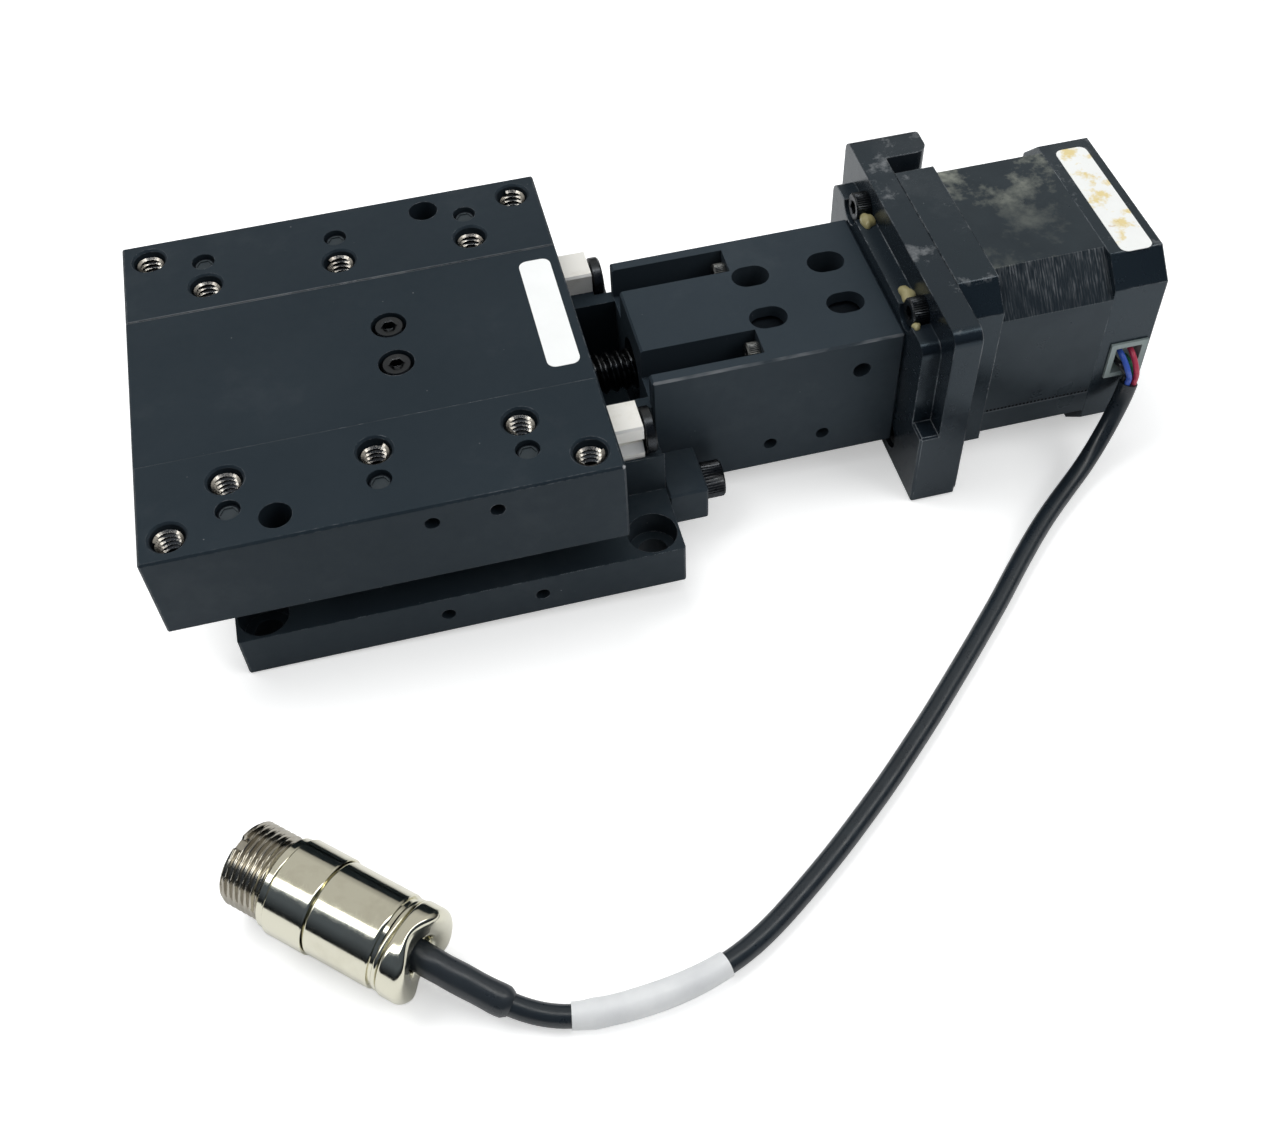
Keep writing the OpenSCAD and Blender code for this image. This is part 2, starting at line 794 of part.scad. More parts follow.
// one-piece coupling: two clamp hubs joined by a slit flexible part
module coupling() {
    mid = coupling_x + coupling_l / 2;
    color(dark_steel)
        translate([0, 0, axis_z])
            difference() {
                rod(coupling_x, coupling_l, coupling_d);
                rod(coupling_x - cut, coupling_l / 2 + cut, journal_d);
                rod(mid - cut, coupling_l / 2 + 2 * cut, motor_shaft_d);
                for (k = [0:slit_count - 1])
                    rotate([k * 90 + 45, 0, 0])
                        translate([mid + (k - (slit_count - 1) / 2) * slit_pitch - slit_w / 2,
                            -coupling_d, -coupling_d / 2 + web])
                            cube([slit_w, 2 * coupling_d, coupling_d]);
                for (x = [coupling_x - cut, coupling_x + coupling_l - 2 * clamp_in + cut])
                    translate([x, 0, -clamp_slot / 2])
                        cube([2 * clamp_in, coupling_d, clamp_slot]);
                for (x = [coupling_x + clamp_in, coupling_x + coupling_l - clamp_in])
                    translate([x, clamp_y, 0]) {
                        translate([0, 0, -coupling_d / 2])
                            cylinder(h = coupling_d, d = M25[0] + 2 * fit);
                        translate([0, 0, clamp_y - M25[2]])
                            cylinder(h = coupling_d, d = M25[1] + 0.3);
                    }
            }
}

module coupling_screws() {
    color(dark_steel)
        for (x = [coupling_x + clamp_in, coupling_x + coupling_l - clamp_in])
            translate([x, clamp_y, axis_z + clamp_y - M25[2]])
                cap_screw_down(M25, 2 * clamp_y - M25[2] - 1);
}

// ---- drive housing ----

// slot with round ends along X, cut down from the housing's top
module window_cut() {
    for (s = sides)
        translate([s * (window_l - window_w) / 2, 0, 0])
            cylinder(h = housing_top, d = window_w);
    translate([-(window_l - window_w) / 2, -window_w / 2, 0])
        cube([window_l - window_w, window_w, housing_top]);
}

// bores, grooves, windows and side holes of the housing and its cover
module housing_cuts() {
    groove_end = half + groove_l;
    rod(half - cut, housing_l + 2 * cut, entry_d, 0, axis_z);
    rod(bearing_x, housing_l, bearing_od, 0, axis_z);
    rod(groove_end + chamber_wall, housing_l, chamber_d, 0, axis_z);
    for (s = sides) {
        translate([half - cut, s > 0 ? tongue_half : -tongue_half - groove_w, groove_z])
            cube([groove_l + cut, groove_w, housing_top]);
        rod(groove_end - cut, housing_l, M25[0] + 2 * fit, s * tie_y, tie_z);
        rod(half - cut, ear_l + 2 * cut, M4[0] + 2 * fit, s * ear_screw_y, ear_screw_z);
        for (x = [coupling_x + clamp_in, coupling_x + coupling_l - clamp_in])
            translate([x, s * clamp_y, axis_z])
                window_cut();
    }
    translate([side_hole[0], -housing_w / 2 - cut, side_hole[1]])
        rotate([-90, 0, 0])
            cylinder(h = 6, d = side_hole_d);
    for (p = side_tapped)
        translate([p[0], -housing_w / 2 - cut, p[1]])
            rotate([-90, 0, 0])
                cylinder(h = 6, d = tapped_d);
}

// flush cover's block over the coupling, up to the given height
module cover_block(top) {
    translate([half + groove_l, -cover_half, cover_z])
        cube([cover_end - half - groove_l, 2 * cover_half, top - cover_z]);
}

module drive_housing() {
    color(black)
        difference() {
            union() {
                translate([half, -housing_w / 2, housing_z])
                    bevel_block([housing_l, housing_w, housing_top - housing_z], edge);
                translate([half, -housing_w / 2 - ear_w, ear_z])
                    bevel_block([ear_l, housing_w + 2 * ear_w, ear_h], edge);
            }
            housing_cuts();
            cover_block(housing_top + cut);
        }
}

// cover let in flush over the coupling, with the four key windows
module coupling_cover() {
    color(black)
        difference() {
            cover_block(housing_top);
            housing_cuts();
        }
}

// screws through the ears into the base's end face
module ear_screws() {
    color(dark_steel)
        for (s = sides)
            translate([half + ear_l, s * ear_screw_y, ear_screw_z])
                rotate([0, 180, 0])
                    cap_screw(M4, ear_screw_l - 1);
}

// long screws from the housing's grooves into the motor plate
module tie_screws() {
    color(dark_steel)
        for (s = sides)
            translate([half + groove_l, s * tie_y, tie_z])
                cap_screw(M25, tie_l);
}

// ---- motor plate and motor ----

// rectangle with rounded corners, from its lower corner
module soft_rect(a, b, r) {
    translate([r, 0])
        square([a - 2 * r, b]);
    translate([0, r])
        square([a, b - 2 * r]);
    for (x = [r, a - r], y = [r, b - r])
        translate([x, y])
            circle(r = r);
}

// places of the motor's screws
module at_motor_screws() {
    for (sy = sides, sz = sides)
        translate([0, sy * motor_pitch / 2, axis_z + sz * motor_pitch / 2])
            children();
}

module motor_plate() {
    color(black)
        difference() {
            union() {
                bar_x(step_x, plate_t - plate_step)
                    translate([-plate_w / 2, plate_z])
                        soft_rect(plate_w, plate_h, plate_r);
                translate([plate_x, -plate_w / 2, plate_z])
                    bevel_block([plate_t, plate_w, foot_z - plate_z], edge);
                bar_x(plate_x, plate_step + cut)
                    translate([-boss_half, foot_z - 2 * boss_r])
                        soft_rect(2 * boss_half, boss_z - foot_z + 2 * boss_r, boss_r);
                intersection() {
                    translate([motor_x - 2 * plate_r, plate_w / 2 - block_w, plate_z])
                        linear_extrude(plate_h)
                            soft_rect(block_l + 2 * plate_r, block_w, plate_r);
                    bar_x(motor_x - cut, block_l + 2 * cut)
                        translate([-plate_w / 2, plate_z])
                            soft_rect(plate_w, plate_h, plate_r);
                }
            }
            rod(plate_x - cut, plate_t + 2 * cut, pilot_d + 2 * fit, 0, axis_z);
            at_motor_screws() {
                rod(plate_x - cut, plate_step + cut, M3[1] + 1);
                rod(plate_x, plate_t + cut, M3[0] + 2 * fit);
            }
            for (s = sides)
                rod(plate_x - cut, groove_l + tie_l + half - plate_x + 1, M25[0] + 2 * fit, s * tie_y, tie_z);
        }
}

module motor_screws() {
    color(dark_steel)
        at_motor_screws()
            translate([step_x, 0, 0])
                cap_screw(M3, plate_t - plate_step + 4);
}

// square bar of the motor's section along X
module motor_block(x, l, bevel) {
    bar_x(x, l)
        translate([-motor_w / 2, axis_z - motor_w / 2])
            bevel_rect(motor_w, motor_w, bevel);
}

module motor_front_cap() {
    cup_x = stack_x - cap_cup;
    color(black)
        difference() {
            union() {
                motor_block(motor_x, front_cap_l, cap_bevel);
                rod(motor_x - pilot_h, pilot_h + cut, pilot_d, 0, axis_z);
            }
            rod(cup_x, cap_cup + cut, cap_cup_d, 0, axis_z);
            rod(cup_x - motor_bearing_w, motor_bearing_w + cut, motor_bearing_od, 0, axis_z);
            rod(motor_x - pilot_h - cut, front_cap_l, motor_bearing_od / 2 + 1, 0, axis_z);
            at_motor_screws()
                rod(motor_x - cut, front_cap_l + 2 * cut, M3[0] + 2 * fit);
        }
}

module lamination_stack() {
    color(black)
        difference() {
            motor_block(stack_x, rear_cap_x - stack_x, stack_bevel);
            rod(stack_x - cut, motor_l, bore_d, 0, axis_z);
            for (k = [0:slot_count - 1])
                translate([stack_x - cut, 0, axis_z])
                    rotate([k * 360 / slot_count, 0, 0])
                        translate([0, -slot_w / 2, 0])
                            cube([motor_l, slot_w, bore_d / 2 + slot_depth]);
            at_motor_screws()
                rod(stack_x - cut, motor_l, M3[0] + 2 * fit);
        }
}

module motor_rear_cap() {
    seat_end = rear_cap_x + cap_cup + motor_bearing_w;
    color(black)
        difference() {
            motor_block(rear_cap_x, rear_cap_l, cap_bevel);
            rod(rear_cap_x - cut, cap_cup + cut, cap_cup_d, 0, axis_z);
            rod(rear_cap_x, seat_end - rear_cap_x, motor_bearing_od, 0, axis_z);
            at_motor_screws() {
                rod(rear_cap_x - cut, rear_cap_l + 2 * cut, M3[0] + 2 * fit);
                rod(motor_end - rear_screw_sink, rear_screw_sink + cut, M3[1] + 0.3);
            }
            translate([socket_x - socket_l / 2, -motor_w / 2 - cut, socket_z - socket_h / 2])
                cube([socket_l, socket_depth + cut, socket_h]);
        }
}

module motor_body_screws() {
    color(dark_steel)
        at_motor_screws()
            translate([motor_end - rear_screw_sink, 0, 0])
                rotate([0, 180, 0])
                    cap_screw([M3[0], M3[1], rear_screw_sink - 0.2, M3[3]], motor_l - rear_screw_sink - 4);
}

module motor_windings() {
    color(copper)
        for (x = [stack_x - winding_l, rear_cap_x])
            translate([0, 0, axis_z])
                ring_x(x, winding_l, 2 * winding_ro, 2 * winding_ri);
}

module motor_rotor() {
    color(bright_steel)
        translate([0, 0, axis_z])
            ring_x(stack_x + 0.5, rear_cap_x - stack_x - 1, rotor_d, motor_shaft_d);
}

module motor_shaft() {
    color(bright_steel)
        rod(motor_x - shaft_out, shaft_out + motor_l - rear_cap_l + cap_cup + motor_bearing_w, motor_shaft_d, 0,
            axis_z);
}

module motor_bearings_outer() {
    color(bright_steel)
        for (x = [stack_x - cap_cup - motor_bearing_w, rear_cap_x + cap_cup])
            translate([0, 0, axis_z])
                ring_x(x, motor_bearing_w, motor_bearing_od, ring_split(motor_shaft_d, motor_bearing_od)
                    + 2 * run_gap);
}

module motor_bearings_inner() {
    color(bright_steel)
        for (x = [stack_x - cap_cup - motor_bearing_w, rear_cap_x + cap_cup])
            translate([0, 0, axis_z])
                ring_x(x, motor_bearing_w, ring_split(motor_shaft_d, motor_bearing_od), motor_shaft_d);
}

// frame and block of the wires' connector, in the motor's side
module wire_socket() {
    color(light_plastic)
        difference() {
            translate([socket_x - socket_l / 2, -motor_w / 2 - socket_proud, socket_z - socket_h / 2])
                cube([socket_l, socket_depth + socket_proud, socket_h]);
            translate([socket_x - socket_l / 2 + socket_wall, -motor_w / 2 - socket_proud - cut,
                socket_z - socket_h / 2 + socket_wall])
                cube([socket_l - 2 * socket_wall, socket_recess + cut, socket_h - 2 * socket_wall]);
        }
}

// ---- wires, cable and plug ----

SIDE_AXIS = [0.5, -0.5, 0.7];           // never along the cable

function unit(v) = v / norm(v);
function along(path, i) = unit(path[min(i + 1, len(path) - 1)] - path[max(i - 1, 0)]);
function ring_points(path, i, r, n, up) =
    let (t = along(path, i), u = unit(cross(t, up)), v = cross(t, u))
        [for (k = [0:n - 1]) path[i] + r * (cos(360 * k / n) * u + sin(360 * k / n) * v)];
function wall_faces(a, b, n) =
    [for (k = [0:n - 1], f = [[a + k, b + k, b + (k + 1) % n], [a + k, b + (k + 1) % n, a + (k + 1) % n]]) f];

// solid round tube along a path
module solid_tube(path, r, n, up) {
    m = len(path);
    polyhedron(
        points = [for (i = [0:m - 1], p = ring_points(path, i, r, n, up)) p],
        faces = concat(
            [[for (k = [0:n - 1]) k]],
            [for (i = [0:m - 2], f = wall_faces(i * n, (i + 1) * n, n)) f],
            [[for (k = [n - 1:-1:0]) (m - 1) * n + k]]));
}

// hollow round tube along a path; walls holds its thickness at the start and at the end
module hollow_tube(path, r, walls, n, up) {
    m = len(path);
    outer = [for (i = [0:m - 1])
        let (w = walls[0] + (walls[1] - walls[0]) * i / (m - 1))
            for (p = ring_points(path, i, r + w, n, up)) p];
    inner = [for (i = [0:m - 1], p = ring_points(path, i, r, n, up)) p];
    polyhedron(
        points = concat(outer, inner),
        faces = concat(
            [for (i = [0:m - 2], f = wall_faces(i * n, (i + 1) * n, n)) f],
            [for (i = [0:m - 2], f = wall_faces((m + i) * n, (m + i + 1) * n, n)) [f[2], f[1], f[0]]],
            [for (f = wall_faces(m * n, 0, n)) f],
            [for (f = wall_faces((m - 1) * n, (2 * m - 1) * n, n)) f]));
}

// the wires' bundle turns down from the socket to the cable: [middle, half of its width, half of its height]
function turned(turn) = [0, -sin(turn), cos(turn)];
cable_start = unit(ROUTE[1] - ROUTE[0]);
cable_across = unit(cross(cable_start, [0, 1, 0]));
cable_out = cross(cable_start, cable_across);
wire_gap = 0.03;                        // between the wires' ends and the jacket
BUNDLE = [
    [[socket_x, socket_face_y, socket_z], [1.1, 0, 0], 1.5 * turned(0)],
    [[socket_x, socket_face_y - 2, socket_z], [1.1, 0, 0], 1.4 * turned(5)],
    [[socket_x + 0.3, socket_face_y - 3.7, socket_z - 0.9], [0.9, 0, 0], 0.9 * turned(48)],
    [ROUTE[0] - 1.6 * cable_start, 0.7 * cable_across, 0.65 * cable_out],
    [ROUTE[0] - wire_gap * cable_start, 0.7 * cable_across, 0.65 * cable_out]];

// path of one wire; a and b are its place in the bundle
function wire_path(a, b) = [for (p = BUNDLE) p[0] + a * p[1] + b * p[2]];

module lead_wires() {
    color(copper)
        for (a = sides, b = sides)
            solid_tube(wire_path(a, b), wire_d / 2, wire_sides, [1, 0.2, 0]);
}

function part_of(path, span) = [for (i = [span[0]:span[1]]) path[i]];

module cable_jacket() {
    color(cable_black)
        solid_tube(ROUTE, cable_d / 2, tube_sides, SIDE_AXIS);
}

module marker_sleeve() {
    color(light_plastic)
        hollow_tube(part_of(ROUTE, SLEEVE), cable_d / 2 + tube_gap, [sleeve_wall, sleeve_wall], tube_sides,
            SIDE_AXIS);
}

module cable_boot() {
    color(cable_black)
        hollow_tube(part_of(ROUTE, BOOT), cable_d / 2 + tube_gap, boot_wall, tube_sides, SIDE_AXIS);
}

// carries the plug's own axis to where the plug lies
module plug_place() {
    translate([plug_front[0], plug_front[1], plug_d / 2 + rest_z(plug_front[0])])
        rotate([0, plug_tilt, plug_yaw])
            children();
}

module plug_shell() {
    color(nickel)
        plug_place()
            difference() {
                union() {
                    rod(0, thread_l, plug_thread_d);
                    rod(thread_l - cut, collar_x - thread_l + cut, collar_d);
                }
                rod(-cut, collar_x + 2 * cut, plug_thread_d - 2 * shell_wall);
                translate([-cut, -1.2, 0])
                    cube([2.4, 2.4, plug_thread_d]);
            }
}

module plug_barrel() {
    color(nickel)
        plug_place()
            difference() {
                union() {
                    rod(collar_x, barrel_x - collar_x, plug_d);
                    rod(barrel_x - cut, nut_x - nut_neck - barrel_x + cut, barrel_d);
                    rod(barrel_x, nut_x - barrel_x, nut_flat);
                }
                rod(collar_x - cut, nut_x - collar_x - 4, plug_thread_d - 2 * shell_wall);
                rod(collar_x, nut_x, cable_hole_d);
            }
}

// rear nut with two flats and a hollowed end
module plug_clamp_nut() {
    color(nickel)
        plug_place()
            difference() {
                intersection() {
                    rod(nut_x, plug_l - nut_x, nut_out_d);
                    translate([nut_x, -plug_d, -nut_flat / 2])
                        cube([plug_l, 2 * plug_d, nut_flat]);
                }
                rod(cable_seat, plug_l, cable_hole_d);
                rod(nut_x - cut, cable_seat - nut_x + 2 * cut, cable_d - 1);
                translate([plug_l + plug_d / 2 - saddle, 0, -plug_d])
                    cylinder(h = 2 * plug_d, d = plug_d);
            }
}

module plug_insert() {
    color(cable_black)
        plug_place()
            difference() {
                rod(insert_face, insert_t, plug_thread_d - 2 * shell_wall);
                for (k = [0:pin_count - 1])
                    rotate([45 + k * 360 / (pin_count + 1), 0, 0])
                        rod(insert_face - cut, insert_t + 2 * cut, pin_d + 2 * fit, 0, pin_r);
            }
}

module plug_contacts() {
    color(bronze)
        plug_place()
            for (k = [0:pin_count - 1])
                rotate([45 + k * 360 / (pin_count + 1), 0, 0])
                    rod(insert_face - pin_out, insert_t + pin_out, pin_d, 0, pin_r);
}

base_plate();
inner_rail_front();
inner_rail_rear();
inner_rail_screws();
rail_end_screws();
outer_rail_front();
outer_rail_rear();
outer_rail_screws();
roller_cage_front();
roller_cage_rear();
rollers_front();
rollers_rear();
carriage_plate();
thread_inserts();
nut_bracket();
bracket_screws();
lead_nut();
nut_screws();
lead_screw();
support_bearing_outer();
support_bearing_inner();
fixed_bearings_outer();
fixed_bearings_inner();
bearing_locknut();
bearing_retainer();
coupling();
coupling_screws();
drive_housing();
coupling_cover();
ear_screws();
tie_screws();
motor_plate();
motor_screws();
motor_front_cap();
lamination_stack();
motor_rear_cap();
motor_body_screws();
motor_windings();
motor_rotor();
motor_shaft();
motor_bearings_outer();
motor_bearings_inner();
wire_socket();
lead_wires();
cable_jacket();
marker_sleeve();
cable_boot();
plug_shell();
plug_barrel();
plug_clamp_nut();
plug_insert();
plug_contacts();
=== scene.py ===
"""A motorised linear stage on crossed-roller ways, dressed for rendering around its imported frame.

Lengths are millimetres here and become metres when a mesh is made.
"""

import math

import bmesh
import bpy
import numpy as np
from mathutils import Matrix, Vector


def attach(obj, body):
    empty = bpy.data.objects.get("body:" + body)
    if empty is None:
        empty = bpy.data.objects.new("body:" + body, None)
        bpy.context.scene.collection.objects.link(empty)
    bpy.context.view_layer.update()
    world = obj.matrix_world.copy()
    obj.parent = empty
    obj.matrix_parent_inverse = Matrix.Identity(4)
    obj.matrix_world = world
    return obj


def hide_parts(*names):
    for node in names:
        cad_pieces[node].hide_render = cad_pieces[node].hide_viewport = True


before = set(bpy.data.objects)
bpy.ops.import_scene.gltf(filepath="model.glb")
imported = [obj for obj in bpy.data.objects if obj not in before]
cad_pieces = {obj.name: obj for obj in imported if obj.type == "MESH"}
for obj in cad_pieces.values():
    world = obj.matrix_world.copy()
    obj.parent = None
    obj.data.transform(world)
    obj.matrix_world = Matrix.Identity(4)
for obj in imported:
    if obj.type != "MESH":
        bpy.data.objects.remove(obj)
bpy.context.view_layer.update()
scene = bpy.context.scene

# ---- sizes that the CAD source also holds ----
MM = 0.001
SIDES = (-1, 1)
HALF = 40.0  # half the side of the base and of the carriage
AXIS_Z = 16.4  # height of the lead screw's and the motor's axis
WAY_Z = 21.4  # height of the rollers' middle
TABLE_X = -10.0  # middle of the carriage where it rests
TOP = 34.2  # top of the carriage
STRIP_HALF = 18.4  # half the width of the shallow strip along that top
RAIL_SCREWS = (-25, 0, 25)  # places of the screws along each rail
HOUSING_HALF = 17.0  # half the width of the drive housing
HOUSING_TOP = 28.3
MOTOR_HALF = 21.15  # half the width of the motor
REST_SLOPE = 4.6 / 127.6  # drop of the table from the base's free end to the motor plate's foot
CABLE_R = 1.8
PLUG_R = 8.0

# ---- camera ----
CAMERA_PLACE = (-1.592, -203.140, 219.317)
CAMERA_TURN = (38.2330, 2.1039, -13.6257)
camera = bpy.data.objects.new("camera", bpy.data.cameras.new("camera"))
scene.collection.objects.link(camera)
scene.camera = camera
camera.location = Vector(CAMERA_PLACE) * MM
camera.rotation_euler = [math.radians(a) for a in CAMERA_TURN]
camera.data.sensor_width = 36.0
camera.data.lens = 42.882
camera.data.clip_start = 0.01
camera.data.clip_end = 20.0

# ---- node helpers ----


def node(tree, kind, inputs=None, **props):
    """Adds a node, sets its properties and fills its inputs from values or sockets."""
    made = tree.nodes.new(kind)
    for key, value in props.items():
        setattr(made, key, value)
    for key, value in (inputs or {}).items():
        socket = made.inputs[key]
        if isinstance(value, bpy.types.NodeSocket):
            tree.links.new(value, socket)
        else:
            socket.default_value = value
    return made


def math_node(tree, operation, a, b=0.0, clamp=False):
    return node(tree, "ShaderNodeMath", {0: a, 1: b}, operation=operation, use_clamp=clamp).outputs[0]


def product(tree, first, *others):
    """Product of two or more values."""
    for other in others:
        first = math_node(tree, "MULTIPLY", first, other)
    return first


def size_of(tree, value):
    """A value without its sign."""
    return math_node(tree, "ABSOLUTE", value)


def apart(tree, a, b):
    """How far two values lie apart."""
    return size_of(tree, math_node(tree, "SUBTRACT", a, b))


def vector_math(tree, operation, a, b=None):
    """A vector operation that gives a number."""
    inputs = {0: a} if b is None else {0: a, 1: b}
    return node(tree, "ShaderNodeVectorMath", inputs, operation=operation).outputs["Value"]


def axis_of(tree, where, index):
    """One of a point's coordinates, by number."""
    return node(tree, "ShaderNodeSeparateXYZ", {0: where}).outputs[index]


def ramp(tree, value, low, high, a=0.0, b=1.0):
    """Maps a value from low..high to a..b, clamped."""
    inputs = {"Value": value, "From Min": low, "From Max": high, "To Min": a, "To Max": b}
    return node(tree, "ShaderNodeMapRange", inputs).outputs[0]


def ramp_mm(tree, length, low, high, a=0.0, b=1.0):
    """The same for a length, whose limits are in millimetres."""
    return ramp(tree, length, low * MM, high * MM, a, b)


def noise(tree, where, scale, detail=3.0, rough=0.55, stretch=None):
    """Noise with features of 1 / scale metres, drawn out along an axis if asked."""
    if stretch:
        where = node(tree, "ShaderNodeMapping", {"Vector": where, "Scale": stretch}).outputs[0]
    inputs = {"Vector": where, "Scale": scale, "Detail": detail, "Roughness": rough}
    return node(tree, "ShaderNodeTexNoise", inputs).outputs["Fac"]


def patches(tree, where, scale, low, high, a=0.0, b=1.0, **kind):
    """Noise made into patches: a where it lies below low, b where it lies above high."""
    return ramp(tree, noise(tree, where, scale, **kind), low, high, a, b)


def mix_colour(tree, share, a, b):
    """Colour a, turning to b as the share grows."""
    made = node(tree, "ShaderNodeMix", data_type="RGBA")
    for key, value in ((0, share), (6, a), (7, b)):
        if isinstance(value, bpy.types.NodeSocket):
            tree.links.new(value, made.inputs[key])
        else:
            made.inputs[key].default_value = value if key == 0 else (*value, 1.0)
    return made.outputs[2]


def coords(tree):
    """Where a point lies, in metres."""
    return node(tree, "ShaderNodeTexCoord").outputs["Object"]


# ---- effects that several finishes share ----


def mask_group(name, setting, *masks):
    """Starts a node group with one number going in and masks coming out."""
    tree = bpy.data.node_groups.new(name, "ShaderNodeTree")
    tree.interface.new_socket(setting, in_out="INPUT", socket_type="NodeSocketFloat")
    for mask in masks:
        tree.interface.new_socket(mask, in_out="OUTPUT", socket_type="NodeSocketFloat")
    return tree, tree.nodes.new("NodeGroupInput").outputs[setting], tree.nodes.new("NodeGroupOutput").inputs


def make_wear_group():
    """Edge: how much a point lies on an edge of the given radius. Wear: the same, rubbed in places."""
    tree, radius, leave = mask_group("edge_wear", "Radius", "Wear", "Edge")
    bevel = node(tree, "ShaderNodeBevel", {"Radius": radius}, samples=4).outputs[0]
    normal = node(tree, "ShaderNodeNewGeometry").outputs["Normal"]
    edge = ramp(tree, vector_math(tree, "DOT_PRODUCT", bevel, normal), 0.995, 0.86)
    where = coords(tree)
    broken = patches(tree, where, 900.0, 0.44, 0.62, detail=4.0, rough=0.7)
    large = patches(tree, where, 60.0, 0.35, 0.62, detail=2.0)
    tree.links.new(product(tree, edge, broken, large), leave["Wear"])
    tree.links.new(edge, leave["Edge"])
    return tree


def make_dust_group():
    """Fine pale specks and faint smears that lie on a surface."""
    tree, amount, leave = mask_group("dust", "Amount", "Dust")
    where = coords(tree)
    cells = node(tree, "ShaderNodeTexVoronoi", {"Vector": where, "Scale": 420.0, "Randomness": 1.0})
    specks = ramp(tree, cells.outputs["Distance"], 0.07, 0.03)
    specks = product(tree, specks, patches(tree, where, 130.0, 0.60, 0.66, detail=2.0))
    smears = patches(tree, where, 34.0, 0.55, 0.85, 0.0, 0.10, detail=6.0, rough=0.7)
    tree.links.new(product(tree, math_node(tree, "MAXIMUM", specks, smears), amount), leave["Dust"])
    return tree


WEAR = make_wear_group()
DUST = make_dust_group()

# ---- kinds of finish ----
BLUED = (0.66, 0.85, 1.0, 1.0)  # tint of the sheen on black pieces
# what shows through their black or lies on it, and the painted highlights on their edges and marks
EDGE_GREY = (0.30, 0.31, 0.33)
EDGE_HIGHLIGHT_AND_WEAR_GREY = (0.38, 0.40, 0.42)
MARK_AND_HIGHLIGHT_GREY = (0.42, 0.43, 0.44)
DUST_GREY = (0.36, 0.37, 0.38)
SHEET_AND_HIGHLIGHT_GREY = (0.22, 0.23, 0.24)
HANDLED_GREY = (0.29, 0.30, 0.25)


def material(name):
    made = bpy.data.materials.new(name)
    made.use_nodes = True
    made.node_tree.nodes.clear()
    return made, made.node_tree


def surface(tree, look, normal):
    """Principled shader to the material's output."""
    shader = node(tree, "ShaderNodeBsdfPrincipled", {**look, "Normal": normal})
    node(tree, "ShaderNodeOutputMaterial", {"Surface": shader.outputs[0]})


def rounded(tree, radius_mm):
    """Normal that rounds the edges of a piece in the shading."""
    return node(tree, "ShaderNodeBevel", {"Radius": radius_mm * MM}, samples=4).outputs[0]


def bump(tree, height, strength, distance_mm, normal=None):
    inputs = {"Height": height, "Strength": strength, "Distance": distance_mm * MM}
    if normal is not None:
        inputs["Normal"] = normal
    return node(tree, "ShaderNodeBump", inputs).outputs[0]


def black_metal(name, colour, pale, rough, wear=0.8, dust=0.5, grain=0.25, level=0.30, round_mm=0.22, rim=0.0,
                marks=None):
    """Anodised or painted black metal: cloudy colour, fine tooth, worn edges, dust and own marks; rim paints
    a pale highlight along the edges, and some marks are painted highlights.
    """
    made, tree = material(name)
    where = coords(tree)
    base = mix_colour(tree, patches(tree, where, 38.0, 0.3, 0.75, rough=0.5), colour, pale)
    if round_mm:
        # with rim the edges get a painted highlight, wider and broken into runs, mixed with the rubbed wear;
        # without it they get only the rubbed wear
        worn = node(tree, "ShaderNodeGroup", node_tree=WEAR)
        worn.inputs["Radius"].default_value = (0.36 if rim else 0.22) * MM
        runs = patches(tree, where, 120.0, 0.47, 0.60, 0.04, 1.0)
        edge = product(tree, worn.outputs["Edge"], rim, runs)
        edge = math_node(tree, "MAXIMUM", edge, product(tree, worn.outputs["Wear"], wear))
        base = mix_colour(tree, edge, base, EDGE_HIGHLIGHT_AND_WEAR_GREY if rim else EDGE_GREY)
    # own marks: a knocked corner and smudges, and painted highlights on the housing's rims and the carriage's
    # strip
    if marks:
        base = mix_colour(tree, marks(tree, where), base, MARK_AND_HIGHLIGHT_GREY)
    dusty = node(tree, "ShaderNodeGroup", node_tree=DUST)
    dusty.inputs["Amount"].default_value = dust
    base = mix_colour(tree, dusty.outputs[0], base, DUST_GREY)
    roughness = patches(tree, where, 420.0, 0.3, 0.7, rough - 0.04, rough + 0.05, detail=4.0, rough=0.7)
    tooth = noise(tree, where, 2600.0, rough=0.6)
    normal = bump(tree, tooth, grain, 0.02, rounded(tree, round_mm) if round_mm else None)
    look = {"Base Color": base, "Roughness": roughness, "Specular IOR Level": level, "Specular Tint": BLUED}
    surface(tree, look, normal)
    return made


def bright_metal(name, colour, dark, rough, stretch=None, scratch=0.3, grime=0.4, metallic=1.0):
    """Bare or plated metal: ground or polished, with scratches and a little grime."""
    made, tree = material(name)
    where = coords(tree)
    grain = noise(tree, where, 900.0, 4.0, 0.65, stretch)
    stain = patches(tree, where, 170.0, 0.5, 0.75, 0.0, grime, detail=5.0, rough=0.65)
    roughness = ramp(tree, grain, 0.3, 0.7, rough * 0.7, rough * 1.4)
    look = {"Base Color": mix_colour(tree, stain, colour, dark), "Roughness": roughness, "Metallic": metallic}
    surface(tree, look, bump(tree, grain, scratch, 0.01))
    return made


def soft_plastic(name, colour, pale, rough, level=0.5):
    """Plastic, rubber or printed label: slight mottling and a fine tooth."""
    made, tree = material(name)
    where = coords(tree)
    base = mix_colour(tree, patches(tree, where, 120.0, 0.3, 0.75, detail=4.0, rough=0.6), colour, pale)
    roughness = patches(tree, where, 400.0, 0.3, 0.7, rough - 0.06, rough + 0.08)
    look = {"Base Color": base, "Roughness": roughness, "Specular IOR Level": level}
    surface(tree, look, bump(tree, noise(tree, where, 1500.0, 2.0), 0.15, 0.03))
    return made


